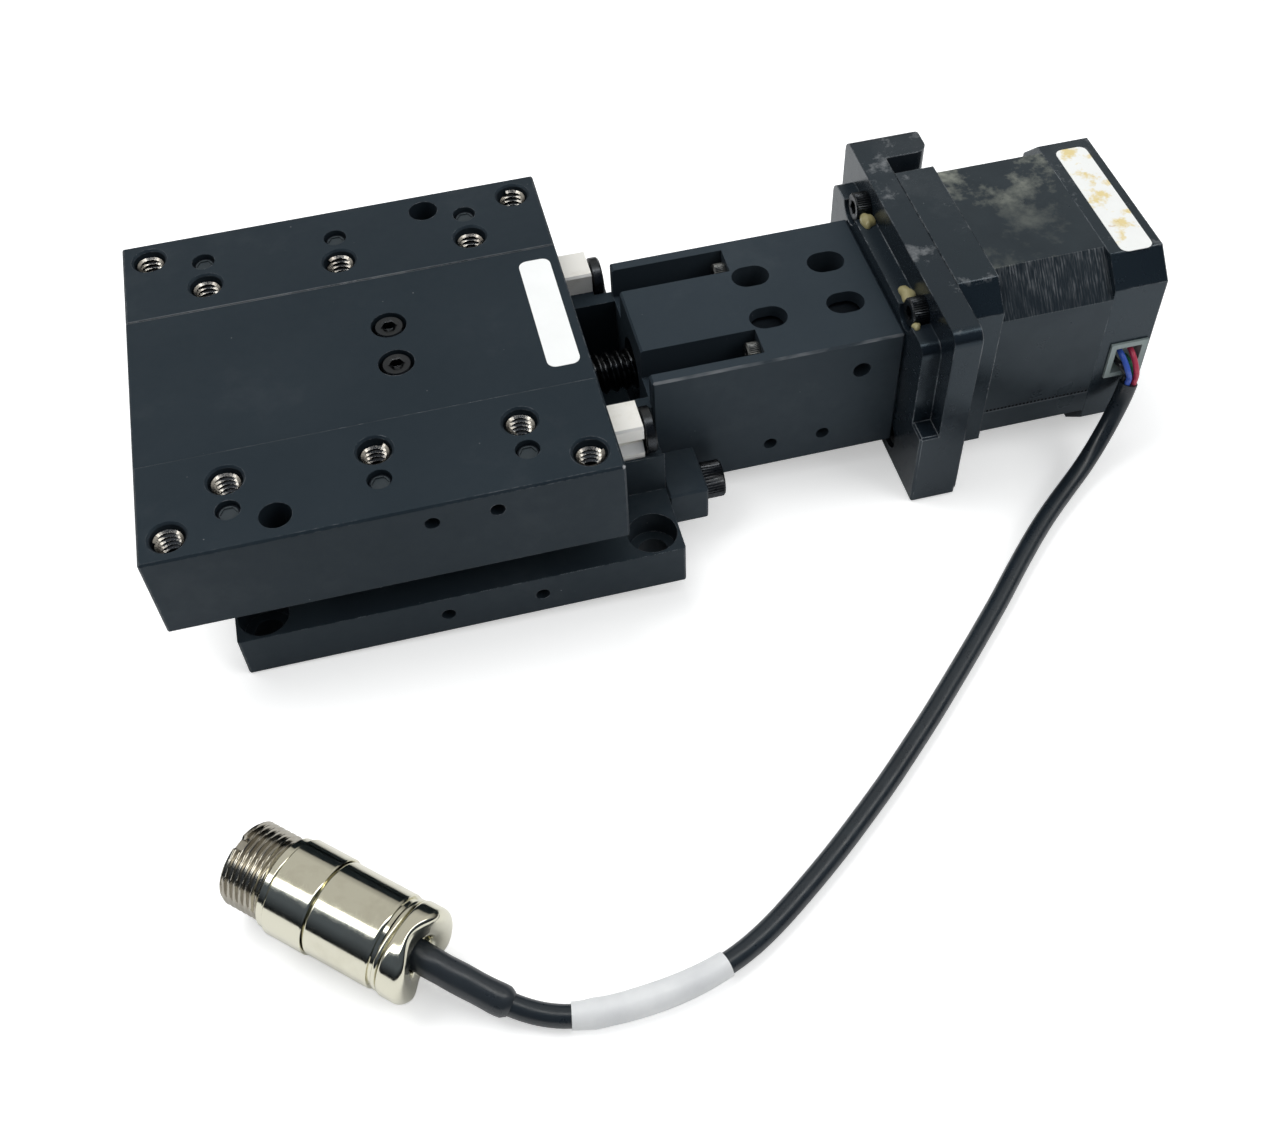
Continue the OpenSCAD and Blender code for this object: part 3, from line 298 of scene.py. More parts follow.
def stained_paper(name):
    """Printed label gone yellow and brown in patches."""
    made, tree = material(name)
    where = coords(tree)
    mottle = patches(tree, where, 120.0, 0.3, 0.75, detail=4.0, rough=0.6)
    base = mix_colour(tree, mottle, (0.78, 0.79, 0.77), (0.85, 0.86, 0.84))
    yellow = patches(tree, where, 210.0, 0.54, 0.64, 0.0, 0.85, detail=4.0, rough=0.65)
    base = mix_colour(tree, yellow, base, (0.70, 0.55, 0.20))
    brown = patches(tree, where, 330.0, 0.64, 0.72, 0.0, 0.7, detail=4.0, rough=0.65, stretch=(1.0, 1.4, 1.0))
    base = mix_colour(tree, brown, base, (0.42, 0.20, 0.06))
    look = {"Base Color": base, "Roughness": ramp(tree, yellow, 0.0, 0.6, 0.5, 0.3)}
    surface(tree, look, bump(tree, noise(tree, where, 900.0), 0.15, 0.03))
    return made


# ---- marks and painted highlights on single pieces ----
KNOCKED_CORNER = (TABLE_X + HALF, -HALF, TOP)
SHEET_T = 0.55  # thickness of one sheet of the motor's stack
BEVEL_REACH = 35.25  # |Y| plus height over the axis, where the stack's bevels begin
PINHOLE_Z, PINHOLE_PITCH = 7.6, 0.75  # row of pinholes along the stack's side
PALE_LINE_Z = 7.15  # below the pinholes


def housing_rim_highlights(tree, where):
    """Painted highlight along the drive housing's long top edges, broken into runs."""
    side = math_node(tree, "SUBTRACT", HOUSING_HALF * MM, size_of(tree, axis_of(tree, where, 1)))
    drop = math_node(tree, "SUBTRACT", HOUSING_TOP * MM, axis_of(tree, where, 2))
    rim = ramp_mm(tree, math_node(tree, "ADD", side, drop), 0.44, 0.32)
    runs = patches(tree, where, 220.0, 0.42, 0.58, 0.10, 0.9, rough=0.6, stretch=(0.35, 1.0, 1.0))
    return product(tree, rim, runs)


def carriage_nick_and_strip_highlight(tree, where):
    """Bare metal at the carriage's knocked corner, and a painted highlight along the edges of the shallow
    strip on its top, brighter on the far edge.
    """
    off = vector_math(tree, "DISTANCE", where, [v * MM for v in KNOCKED_CORNER])
    ragged = product(tree, noise(tree, where, 2400.0), 0.5 * MM)
    nick = ramp_mm(tree, math_node(tree, "ADD", off, ragged), 0.95, 0.75)
    side = axis_of(tree, where, 1)
    # painted highlight along both edges of the strip, brighter on the far one, broken into patches
    line = ramp_mm(tree, apart(tree, size_of(tree, side), STRIP_HALF * MM), 0.22, 0.10)
    stronger_behind = ramp_mm(tree, side, -1.0, 1.0, 0.05, 0.26)
    on_top = ramp_mm(tree, axis_of(tree, where, 2), TOP - 0.6, TOP - 0.5)
    line = product(tree, line, stronger_behind, on_top, patches(tree, where, 90.0, 0.38, 0.60, 0.4, 1.0))
    return math_node(tree, "MAXIMUM", nick, line)


def cap_smudges(tree, where):
    """Rubbed, greyish patches on the painted tops of the motor and its plate."""
    patch = patches(tree, where, 150.0, 0.57, 0.72, 0.0, 0.34, detail=5.0, rough=0.7)
    top = AXIS_Z + MOTOR_HALF
    return product(tree, patch, ramp_mm(tree, axis_of(tree, where, 2), top - 0.65, top - 0.25))


def lamination_metal(name):
    """Painted stack of sheet steel: smooth faces, and bevels where the sheets' edges show as fine lines,
    lightened by a painted highlight near the top and darker lower down.
    """
    made, tree = material(name)
    where = coords(tree)
    x, y, z = (axis_of(tree, where, i) for i in range(3))
    rise = math_node(tree, "SUBTRACT", z, AXIS_Z * MM)
    reach = math_node(tree, "ADD", size_of(tree, y), size_of(tree, rise))
    front = ramp_mm(tree, y, 0.15 - MOTOR_HALF, 0.05 - MOTOR_HALF)

    # the sheets' edges on the bevels, with a painted highlight on them
    bevel = ramp_mm(tree, reach, BEVEL_REACH, BEVEL_REACH + 0.15)
    sheet = math_node(tree, "FRACT", product(tree, x, 1.0 / (SHEET_T * MM)))
    groove = ramp(tree, apart(tree, sheet, 0.5), 0.30, 0.5)
    uneven = noise(tree, where, 4200.0, 2.0, 0.6, (1.0, 0.08, 0.08))
    lines = product(tree, math_node(tree, "SUBTRACT", uneven, groove), bevel)
    bare_lines_and_highlight = product(
        tree, ramp(tree, uneven, 0.44, 0.66), ramp(tree, groove, 0.0, 0.6, 1.0, 0.25),
        patches(tree, where, 240.0, 0.40, 0.62, 0.08, 0.30))
    # painted highlight: the bare lines brighten near the bevel's crest and towards the top, and fade lower
    # down
    crest_highlight = ramp_mm(tree, reach, BEVEL_REACH + 0.65, BEVEL_REACH + 0.2, 1.0, 2.4)
    crest_highlight = product(tree, crest_highlight, ramp_mm(tree, rise, 15.5, 20.0, 0.35, 1.0))
    bare_lines_and_highlight = math_node(tree, "MULTIPLY", product(tree, bare_lines_and_highlight, bevel), crest_highlight, clamp=True)

    # the pinholes, painted near black as the shade inside them, the pale line below them and the handled top
    hole = math_node(tree, "FRACT", product(tree, x, 1.0 / (PINHOLE_PITCH * MM)))
    row = ramp_mm(tree, apart(tree, z, PINHOLE_Z * MM), 0.32, 0.20)
    shaded_pinholes = product(tree, row, ramp(tree, hole, 0.42, 0.50), front)
    under = ramp_mm(tree, apart(tree, z, PALE_LINE_Z * MM), 0.14, 0.08, 0.0, 0.30)
    smudge = product(
        tree, patches(tree, where, 62.0, 0.49, 0.67, detail=6.0, rough=0.68),
        ramp_mm(tree, rise, MOTOR_HALF - 0.15, MOTOR_HALF - 0.05), ramp_mm(tree, y, -2.0, 12.0, 0.25, 1.0))

    cloud = patches(tree, where, 70.0, 0.35, 0.7, detail=4.0, rough=0.6)
    base = mix_colour(tree, cloud, (0.011, 0.015, 0.019), (0.020, 0.026, 0.031))
    base = mix_colour(tree, bare_lines_and_highlight, base, SHEET_AND_HIGHLIGHT_GREY)
    base = mix_colour(tree, smudge, base, HANDLED_GREY)
    base = mix_colour(tree, product(tree, under, front), base, SHEET_AND_HIGHLIGHT_GREY)
    # painted shade: the pinholes drawn near black, with almost no shine
    base = mix_colour(tree, shaded_pinholes, base, (0.002, 0.002, 0.003))
    height = math_node(tree, "ADD", lines, product(tree, noise(tree, where, 1500.0, 4.0, 0.6), 0.12))
    height = math_node(tree, "SUBTRACT", height, shaded_pinholes)
    roughness = patches(tree, where, 160.0, 0.3, 0.7, 0.26, 0.40, detail=4.0)
    shine = ramp(tree, shaded_pinholes, 0.0, 0.7, 0.42, 0.01)
    look = {"Base Color": base, "Roughness": roughness, "Specular IOR Level": shine, "Specular Tint": BLUED}
    surface(tree, look, bump(tree, height, 0.85, 0.06))
    return made


# ---- finishes ----
ANODISED = black_metal("black_anodised", (0.0110, 0.0165, 0.0220), (0.0150, 0.0212, 0.0272), 0.47)
# the carriage: a knocked corner, and a painted highlight along its top strip
CARRIAGE = black_metal(
    "carriage_anodised", (0.0105, 0.0160, 0.0215), (0.0145, 0.0205, 0.0265), 0.47, marks=carriage_nick_and_strip_highlight)
# the drive housing's long top edges carry a painted highlight
HOUSING = black_metal(
    "housing_anodised", (0.0180, 0.0250, 0.0320), (0.0225, 0.0305, 0.0385), 0.47,
    round_mm=0.0, marks=housing_rim_highlights)
# painted shade: black oxide drawn far darker and duller than it is, standing for the shade deep inside the
# housing around the coupling; the sunk screws' heads use it too
OXIDE_DARKENED_AS_SHADE = black_metal(
    "oxide_darkened_as_shade", (0.003, 0.004, 0.006), (0.005, 0.006, 0.008), 0.55, wear=0.1, dust=0.1, level=0.12)
# the motor and its plate: rim paints a pale highlight along their edges
PAINTED = black_metal(
    "motor_paint", (0.006, 0.010, 0.014), (0.011, 0.016, 0.021), 0.24,
    wear=0.9, dust=0.9, grain=0.22, level=0.50, round_mm=0.4, rim=0.7, marks=cap_smudges)
GLOSSY = black_metal(
    "plate_paint", (0.006, 0.009, 0.013), (0.010, 0.015, 0.020), 0.24,
    wear=0.9, dust=0.6, grain=0.20, level=0.44, round_mm=0.45, rim=0.6, marks=cap_smudges)
LAMINATED = lamination_metal("lamination_paint")
GROUND = bright_metal(
    "ground_steel", (0.98, 0.97, 0.93), (0.74, 0.71, 0.64), 0.34,
    stretch=(0.03, 1, 1), scratch=0.35, grime=0.60, metallic=0.50)
TURNED = bright_metal("turned_steel", (0.72, 0.71, 0.69), (0.4, 0.38, 0.35), 0.24, stretch=(1, 0.2, 0.2))
BLACK_STEEL = bright_metal("black_oxide", (0.052, 0.056, 0.062), (0.080, 0.080, 0.080), 0.30, grime=0.5)
WORN_STEEL = bright_metal("worn_oxide", (0.15, 0.155, 0.155), (0.26, 0.26, 0.25), 0.36, grime=0.6)
NICKEL = bright_metal("nickel_plate", (0.72, 0.70, 0.58), (0.44, 0.40, 0.30), 0.10, scratch=0.08, grime=0.30)
# the thread's nickel is darker and grimier than the barrel's: painted shade of its grooves, with grime
NICKEL_THREAD = bright_metal(
    "nickel_thread", (0.45, 0.425, 0.37), (0.22, 0.19, 0.15), 0.16, scratch=0.12, grime=0.50)
# the coils' stainless is drawn dark and heavily grimed: painted shade of the bores they sit in, with dirt
COIL = bright_metal("stainless_coil", (0.40, 0.38, 0.35), (0.10, 0.08, 0.07), 0.24, scratch=0.2, grime=0.9)
BRONZE = bright_metal("bronze", (0.48, 0.30, 0.14), (0.25, 0.15, 0.08), 0.32, grime=0.5)
COPPER = bright_metal("copper", (0.62, 0.27, 0.13), (0.3, 0.12, 0.06), 0.28, grime=0.3)
JACKET = soft_plastic("cable_jacket", (0.009, 0.013, 0.018), (0.014, 0.020, 0.026), 0.30)
BOOT = soft_plastic("boot_rubber", (0.014, 0.018, 0.023), (0.021, 0.027, 0.033), 0.32)
SLEEVE = soft_plastic("marker_sleeve", (0.62, 0.63, 0.64), (0.76, 0.77, 0.77), 0.36)
SOCKET = soft_plastic("socket_plastic", (0.20, 0.25, 0.25), (0.30, 0.35, 0.34), 0.45)
INSERT = soft_plastic("plug_plastic", (0.02, 0.02, 0.022), (0.03, 0.03, 0.033), 0.45)
GLUE = soft_plastic("yellowed_glue", (0.21, 0.18, 0.075), (0.42, 0.385, 0.22), 0.16)
DUSTY = soft_plastic("dusty_oxide", (0.022, 0.029, 0.034), (0.040, 0.049, 0.055), 0.50, level=0.3)
LABEL = soft_plastic("label_paper", (0.82, 0.83, 0.82), (0.87, 0.88, 0.87), 0.50)
STAINED = stained_paper("stained_label")
WIRE = {
    "blue": soft_plastic("wire_blue", (0.03, 0.08, 0.42), (0.05, 0.12, 0.52), 0.32),
    "red": soft_plastic("wire_red", (0.42, 0.03, 0.07), (0.52, 0.05, 0.10), 0.32),
    "black": soft_plastic("wire_black", (0.012, 0.012, 0.015), (0.02, 0.02, 0.024), 0.32),
    "green": soft_plastic("wire_green", (0.02, 0.16, 0.07), (0.03, 0.20, 0.09), 0.32),
}

# ---- mesh helpers ----


def angles(seg):
    return [math.tau * i / seg for i in range(seg)]


def ring(x, radii):
    """Points round the X axis, one for each of the radii."""
    return [(x, r * math.cos(a), r * math.sin(a)) for r, a in zip(radii, angles(len(radii)))]


def supported(spec):
    """Adds a ring just inside both ends of a turned shape's long spans, to keep their shading straight."""
    out = [spec[0]]
    for (x0, r0), (x1, r1) in zip(spec, spec[1:]):
        span = abs(x1 - x0)
        if span > 0.6 and not callable(r0) and not callable(r1):
            out += [(x0 + t * (x1 - x0), r0 + t * (r1 - r0)) for t in (0.12 / span, 1 - 0.12 / span)]
        out.append((x1, r1))
    return out


def add_piece(name, mesh, body, replaces=()):
    """Puts a finished mesh in the scene as a piece that rides a body."""
    made = bpy.data.objects.new(name, mesh)
    scene.collection.objects.link(made)
    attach(made, body)
    if replaces:
        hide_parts(*replaces)
    return made


class Part:
    """Gathers vertices and faces, in millimetres, of one piece with one or more materials."""

    def __init__(self):
        self.verts, self.faces, self.slots = [], [], []

    def grid(self, rows, slot=0, place=None, close_u=False, caps=True):
        """Surface through rows of points, each row closed on itself."""
        n, m = len(rows[0]), len(rows)
        faces = []
        for j in range(m if close_u else m - 1):
            a, b = j * n, ((j + 1) % m) * n
            faces += [[a + i, a + (i + 1) % n, b + (i + 1) % n, b + i] for i in range(n)]
        if caps and not close_u:
            faces += [list(range(n))[::-1], [(m - 1) * n + i for i in range(n)]]
        first = len(self.verts)
        points = [Vector(p) for row in rows for p in row]
        self.verts += [place @ p for p in points] if place is not None else points
        self.faces += [[first + i for i in face] for face in faces]
        self.slots += [slot] * len(faces)

    def rings(self, spec, seg=48, slot=0, place=None, caps=True):
        """Turned shape along X; spec lists (x, radius), where the radius may be a function of the angle."""
        rows = [ring(x, [r(a) if callable(r) else r for a in angles(seg)]) for x, r in supported(spec)]
        self.grid(rows, slot, place, caps=caps)

    def mesh(self, name, sharp=32.0):
        """The mesh in metres, smooth but for edges sharper than so many degrees."""
        mesh = bpy.data.meshes.new(name)
        mesh.from_pydata([v * MM for v in self.verts], [], self.faces)
        work = bmesh.new()
        work.from_mesh(mesh)
        bmesh.ops.recalc_face_normals(work, faces=work.faces)
        work.to_mesh(mesh)
        work.free()
        mesh.shade_smooth()
        mesh.set_sharp_from_angle(angle=math.radians(sharp))
        return mesh

    def make(self, name, body, finishes, replaces=(), sharp=32.0):
        mesh = self.mesh(name, sharp)
        for finish in finishes:
            mesh.materials.append(finish)
        mesh.polygons.foreach_set("material_index", self.slots)
        return add_piece(name, mesh, body, replaces)


def facing(point, axis):
    """Place whose local +X points along axis, at a point in millimetres."""
    return Matrix.Translation(Vector(point)) @ Vector(axis).to_track_quat("X", "Z").to_matrix().to_4x4()


def hexagon(flats):
    """Radius of a hexagon by angle."""
    return lambda a: flats / 2 / math.cos((a + math.pi / 6) % (math.pi / 3) - math.pi / 6)


def cap_screw(thread, head_d, head_h, key, shank, knurl=0.0, edge=0.3):
    """Socket cap screw along X, with the middle of its seat at the origin."""
    r = head_d / 2
    teeth = 40
    side = (lambda a: r - knurl * (0.5 - 0.5 * math.cos(a * teeth))) if knurl else r
    socket_rim = key / 2 / math.cos(math.pi / 6) + 0.12
    part = Part()
    part.rings([
        (-shank, thread / 2 - 0.2), (-shank + 0.2, thread / 2), (0.0, thread / 2), (0.0, r - edge / 2),
        (edge / 2, side), (head_h - edge, side), (head_h, r - edge), (head_h, socket_rim),
        (head_h - 0.12, hexagon(key)), (head_h * 0.45, hexagon(key)), (head_h * 0.32, 0.02),
    ], 160 if knurl else 48)
    return part


def thread_rows(x0, x1, r, depth, pitch, seg, steps=8):
    """Rows of a threaded bar along X from x0 to x1, with so many rows to one turn of the thread."""
    count = max(4, round((x1 - x0) / pitch * steps))
    rows = []
    for j in range(count + 1):
        x = x0 + (x1 - x0) * j / count
        run_out = min(x - x0, x1 - x) + 0.02
        radii = []
        for i in range(seg):
            turn = (x / pitch - i / seg) % 1.0
            dip = min(1.0, max(0.0, abs(2 * turn - 1) * 1.5 - 0.25))
            radii.append(min(r - depth * dip, r - depth + run_out))
        rows.append(ring(x, radii))
    return rows


PER_POINT = 5  # steps of a smooth path between two of its points


def smooth_path(points):
    """Cubic B-spline through the neighbourhood of points, ending at the first and last."""
    p = [np.array(q, float) for q in points]
    p = [2 * p[0] - p[1]] + p + [2 * p[-1] - p[-2]]
    out = []
    for i in range(len(p) - 3):
        for k in range(PER_POINT):
            t = k / PER_POINT
            weights = ((1 - t) ** 3, 3 * t**3 - 6 * t**2 + 4, -3 * t**3 + 3 * t**2 + 3 * t + 1, t**3)
            out.append(sum(w * q for w, q in zip(weights, p[i : i + 4])) / 6)
    out.append((p[-3] + 4 * p[-2] + p[-1]) / 6)
    return out


def frames(path):
    """Side and up at each point, turning as little as they can along the path."""
    tangents = [path[min(i + 1, len(path) - 1)] - path[max(i - 1, 0)] for i in range(len(path))]
    tangents = [t / np.linalg.norm(t) for t in tangents]
    side = np.cross(tangents[0], (0.5, -0.5, 0.7))
    out = []
    for t in tangents:
        side = side - t * (side @ t)
        side /= np.linalg.norm(side)
        out.append((side, np.cross(t, side)))
    return out


def tube(part, path, radius, seg, slot=0, hollow=None, flat=0.0, lap=0.0, lap_at=0.0):
    """Round tube along path, solid or hollow.

    The radius is a number or a function of the share of the length. Flat makes the tube lower than wide.
    Lap is the step of a wrap whose edge lies at lap_at of a turn.
    """
    last = len(path) - 1
    rows, inner = [], []
    for j, (p, (side, up)) in enumerate(zip(path, frames(path))):
        r = radius(j / last) if callable(radius) else radius
        row = []
        for i, a in enumerate(angles(seg)):
            reach = r + lap * ((i / seg - lap_at) % 1.0)
            row.append(p + reach * (math.cos(a) * side + (1 - flat) * math.sin(a) * up))
        rows.append(row)
        if hollow is not None:
            inner.append([p + hollow * (math.cos(a) * side + math.sin(a) * up) for a in angles(seg)])
    part.grid(rows + inner[::-1], slot, close_u=hollow is not None)


# ---- patterns, made with Geometry Nodes ----


def seats_tree(name, sizes):
    """Starts a tree whose input is a set of seats, with named inputs for its sizes and finishes."""
    tree = bpy.data.node_groups.new(name, "GeometryNodeTree")
    inputs = [("Seats", "Geometry"), *sizes, ("Finish", "Material"), ("Inner Finish", "Material")]
    for title, kind in inputs:
        tree.interface.new_socket(title, in_out="INPUT", socket_type="NodeSocket" + kind)
    tree.interface.new_socket("Pieces", in_out="OUTPUT", socket_type="NodeSocketGeometry")
    return tree, tree.nodes.new("NodeGroupInput").outputs


def attribute(tree, name, kind):
    return node(tree, "GeometryNodeInputNamedAttribute", {"Name": name}, data_type=kind).outputs["Attribute"]


def on_seats(tree, enter, piece):
    """Ends a tree: the piece on every seat, turned as the seat says, realised and given its finishes."""
    turn = node(tree, "FunctionNodeEulerToRotation", {"Euler": attribute(tree, "turn", "FLOAT_VECTOR")})
    placed = node(tree, "GeometryNodeInstanceOnPoints", {
        "Points": enter["Seats"], "Instance": piece, "Rotation": turn.outputs[0]})
    solid = node(tree, "GeometryNodeRealizeInstances", {"Geometry": placed.outputs[0]})
    whole = node(tree, "GeometryNodeSetMaterial", {"Geometry": solid.outputs[0], "Material": enter["Finish"]})
    done = node(tree, "GeometryNodeSetMaterial", {
        "Geometry": whole.outputs[0], "Selection": attribute(tree, "inner", "BOOLEAN"),
        "Material": enter["Inner Finish"]})
    tree.links.new(done.outputs[0], tree.nodes.new("NodeGroupOutput").inputs["Pieces"])
    return tree


def screws_tree():
    """A screw on every seat."""
    tree, enter = seats_tree("screws_on_seats", [("Screw", "Object")])
    screw = node(tree, "GeometryNodeObjectInfo", {"Object": enter["Screw"], "As Instance": True})
    return on_seats(tree, enter, screw.outputs["Geometry"])


def coils_tree():
    """A coil of diamond-shaped wire standing on every seat."""
    sizes = ("Radius", "Height", "Turns", "Wire In", "Wire Out", "Wire Rise")
    tree, enter = seats_tree("coils_on_seats", [(title, "Float") for title in sizes])
    helix = node(tree, "GeometryNodeCurveSpiral", {
        "Resolution": 28, "Rotations": enter["Turns"], "Start Radius": enter["Radius"],
        "End Radius": enter["Radius"], "Height": enter["Height"], "Reverse": True})
    helix = node(tree, "GeometryNodeSetCurveNormal", {"Curve": helix.outputs[0]}, mode="Z_UP")

    def corner(x, y):
        return node(tree, "ShaderNodeCombineXYZ", {"X": x, "Y": y}).outputs[0]

    inward = product(tree, enter["Wire In"], -1.0)
    down = product(tree, enter["Wire Rise"], -1.0)
    wire = node(tree, "GeometryNodeCurvePrimitiveQuadrilateral", {
        "Point 1": corner(inward, 0.0), "Point 2": corner(0.0, down),
        "Point 3": corner(enter["Wire Out"], 0.0), "Point 4": corner(0.0, enter["Wire Rise"])}, mode="POINTS")
    coil = node(tree, "GeometryNodeCurveToMesh", {
        "Curve": helix.outputs[0], "Profile Curve": wire.outputs[0], "Fill Caps": True})
    faceted = node(tree, "GeometryNodeSetShadeSmooth", {"Geometry": coil.outputs[0], "Shade Smooth": False})
    return on_seats(tree, enter, faceted.outputs[0])


def keep_used_finishes(mesh):
    """Drops the empty material slots that Set Material leaves, and what the seats and the pattern carried."""
    used = list(mesh.materials)
    kept = [finish for finish in used if finish]
    slots = [kept.index(used[polygon.material_index]) for polygon in mesh.polygons]
    mesh.materials.clear()
    for finish in kept:
        mesh.materials.append(finish)
    mesh.polygons.foreach_set("material_index", slots)
    for name in ("turn", "inner"):
        if name in mesh.attributes:
            mesh.attributes.remove(mesh.attributes[name])


def repeat(name, body, tree, sizes, seats, finishes, replaces):
    """Runs a seats tree over (point, turn) seats and adds the result as one plain piece."""
    points = bpy.data.meshes.new(name + "_seats")
    points.from_pydata([Vector(point) * MM for point, turn in seats], [], [])
    turns = points.attributes.new("turn", "FLOAT_VECTOR", "POINT")
    turns.data.foreach_set("vector", [angle for point, turn in seats for angle in turn])
    holder = bpy.data.objects.new(name + "_seats", points)
    scene.collection.objects.link(holder)
    pattern = holder.modifiers.new("pattern", "NODES")
    pattern.node_group = tree
    values = {**sizes, "Finish": finishes[0], "Inner Finish": finishes[-1]}
    for title, value in values.items():
        pattern[tree.interface.items_tree[title].identifier] = value
    bpy.context.view_layer.update()
    mesh = bpy.data.meshes.new_from_object(holder.evaluated_get(bpy.context.evaluated_depsgraph_get()))
    mesh.name = name
    keep_used_finishes(mesh)
    bpy.data.objects.remove(holder)
    add_piece(name, mesh, body, replaces)


SCREWS = screws_tree()


def add_screws(name, body, part, seats, finishes, replaces):
    """Screws of one kind, each on a (point, axis) seat; the axis points out of the head."""
    mesh = part.mesh(name + "_pattern")
    inner = mesh.attributes.new("inner", "BOOLEAN", "FACE")
    inner.data.foreach_set("value", [slot > 0 for slot in part.slots])
    pattern = bpy.data.objects.new(name + "_pattern", mesh)
    scene.collection.objects.link(pattern)
    turned_seats = [(point, Vector(axis).to_track_quat("X", "Z").to_euler()) for point, axis in seats]
    repeat(name, body, SCREWS, {"Screw": pattern}, turned_seats, finishes, replaces)
    bpy.data.objects.remove(pattern)


# ---- cable, as the CAD source routes it, with its marker sleeve and boot ----
ROUTE = [
    (132.3, -23.4, 10.0), (131.6, -24.0, 7.2), (130.2, -25.0, 4.5), (128.4, -26.4, 2.0),
    (126.2, -28.1, -0.1), (123.7, -30.1, -1.7), (120.6, -32.6, -2.6), (116.8, -35.6, -2.9),
    (111.8, -39.8, -2.9), (107.4, -43.8, -2.9), (103.4, -47.8, -2.9), (99.0, -52.3, -2.9),
    (94.7, -56.9, -2.9), (90.2, -61.4, -2.8), (85.8, -65.8, -2.7), (81.5, -70.0, -2.5),
    (74.0, -77.3, -2.3), (67.0, -83.7, -2.0), (61.7, -88.5, -1.8), (56.3, -93.0, -1.6),
    (51.2, -97.2, -1.4), (46.0, -101.2, -1.3), (38.0, -107.0, -1.0), (32.5, -110.5, -0.7),
    (27.0, -113.1, -0.3), (20.6, -114.9, -0.1), (14.2, -115.8, 0.2), (7.8, -116.1, 0.4),
    (1.8, -115.6, 0.6), (-2.6, -114.2, 1.2), (-6.4, -112.2, 2.3), (-9.8, -109.8, 3.8),
    (-12.8, -107.6, 5.2), (-15.4, -105.7, 6.4), (-17.3, -104.1, 7.1), (-19.0, -102.5, 7.2),
]
SLEEVE_SPAN = (24, 28)  # first and last point of the marker sleeve
BOOT_SPAN = (30, 35)  # first and last point of the boot
TUBE_GAP = 0.04  # between the jacket and what is pushed over it
path = smooth_path(ROUTE)


def stretch_of(span):
    """The smooth path between two points of the route."""
    first, last = span
    return path[first * PER_POINT : last * PER_POINT + 1]


def bulge(s, middle, width):
    """A smooth bump of height 1 at a share of the length."""
    return math.exp(-(((s - middle) / width) ** 2))


def sleeve_radius(s):
    """Radius of the marker sleeve: fullest in its middle, with a bubble near its end."""
    return CABLE_R + 0.24 + 0.22 * math.sin(math.pi * s) + 0.16 * bulge(s, 0.84, 0.05)


def boot_radius(s):
    """Radius of the boot: a step up from the cable, a faint ridge, then slow waves to the plug."""
    step = 1 / (1 + math.exp(-(s - 0.025) * 220))
    ridge = 0.06 * bulge(s, 0.10, 0.025)
    return CABLE_R + 0.12 + (0.53 + ridge - 0.03 * s + 0.03 * math.sin(19 * s)) * step


part = Part()
tube(part, path, CABLE_R, seg=20)
jacket = part.make("cable", "stage_base", [JACKET], ["cable_jacket"], sharp=60)

part = Part()
tube(
    part, stretch_of(SLEEVE_SPAN), sleeve_radius, 36, hollow=CABLE_R + TUBE_GAP,
    flat=0.05, lap=0.14, lap_at=0.30)
sleeve = part.make("cable_marker", "stage_base", [SLEEVE], ["marker_sleeve"], sharp=50)

part = Part()
tube(part, stretch_of(BOOT_SPAN), boot_radius, 28, hollow=CABLE_R + TUBE_GAP)
boot = part.make("cable_strain_boot", "stage_base", [BOOT], ["cable_boot"], sharp=50)

# ---- wires between the motor's socket and the jacket ----
SOCKET_MID = np.array((131.5, -19.25, 14.8))
WIRE_R = 0.55
# where the jacket starts, which way it runs, and two directions across it
start = np.array(ROUTE[0])
run = np.array(ROUTE[1]) - start
run /= np.linalg.norm(run)
across = np.cross(run, (0, 1, 0)) / math.hypot(run[0], run[2])
outward = np.cross(run, across)


def leaning(degrees):
    """Up, leaning to the front by so many degrees."""
    lean = math.radians(degrees)
    return np.array((0, -math.sin(lean), math.cos(lean)))


# the bundle's middle, and the halves of its width and height
BUNDLE = [
    (SOCKET_MID + (0, 0.2, 0), (1.1, 0, 0), 1.5 * leaning(0)),
    (SOCKET_MID + (0, -1.4, 0), (1.1, 0, 0), 1.4 * leaning(0)),
    (SOCKET_MID + (0.1, -2.7, -0.2), (1.0, 0, 0), 1.1 * leaning(20)),
    (SOCKET_MID + (0.3, -3.8, -1.0), (0.9, 0, 0), 0.9 * leaning(48)),
    (SOCKET_MID + (0.7, -4.3, -2.3), (0.8, 0, 0), 0.7 * leaning(70)),
    (start - 1.6 * run, 0.7 * across, 0.65 * outward),
    (start - 0.03 * run, 0.7 * across, 0.65 * outward),
]
WIRE_PLACES = [("blue", -1, 1), ("red", 1, 1), ("black", -1, -1), ("green", 1, -1)]
part = Part()
for index, (colour, along, above) in enumerate(WIRE_PLACES):
    wire_path = smooth_path([mid + along * np.array(wide) + above * high for mid, wide, high in BUNDLE])
    tube(part, wire_path, WIRE_R, 12, slot=index)
wire_finishes = [WIRE[colour] for colour, along, above in WIRE_PLACES]
wires = part.make("socket_wires", "stage_base", wire_finishes, ["lead_wires"], sharp=60)

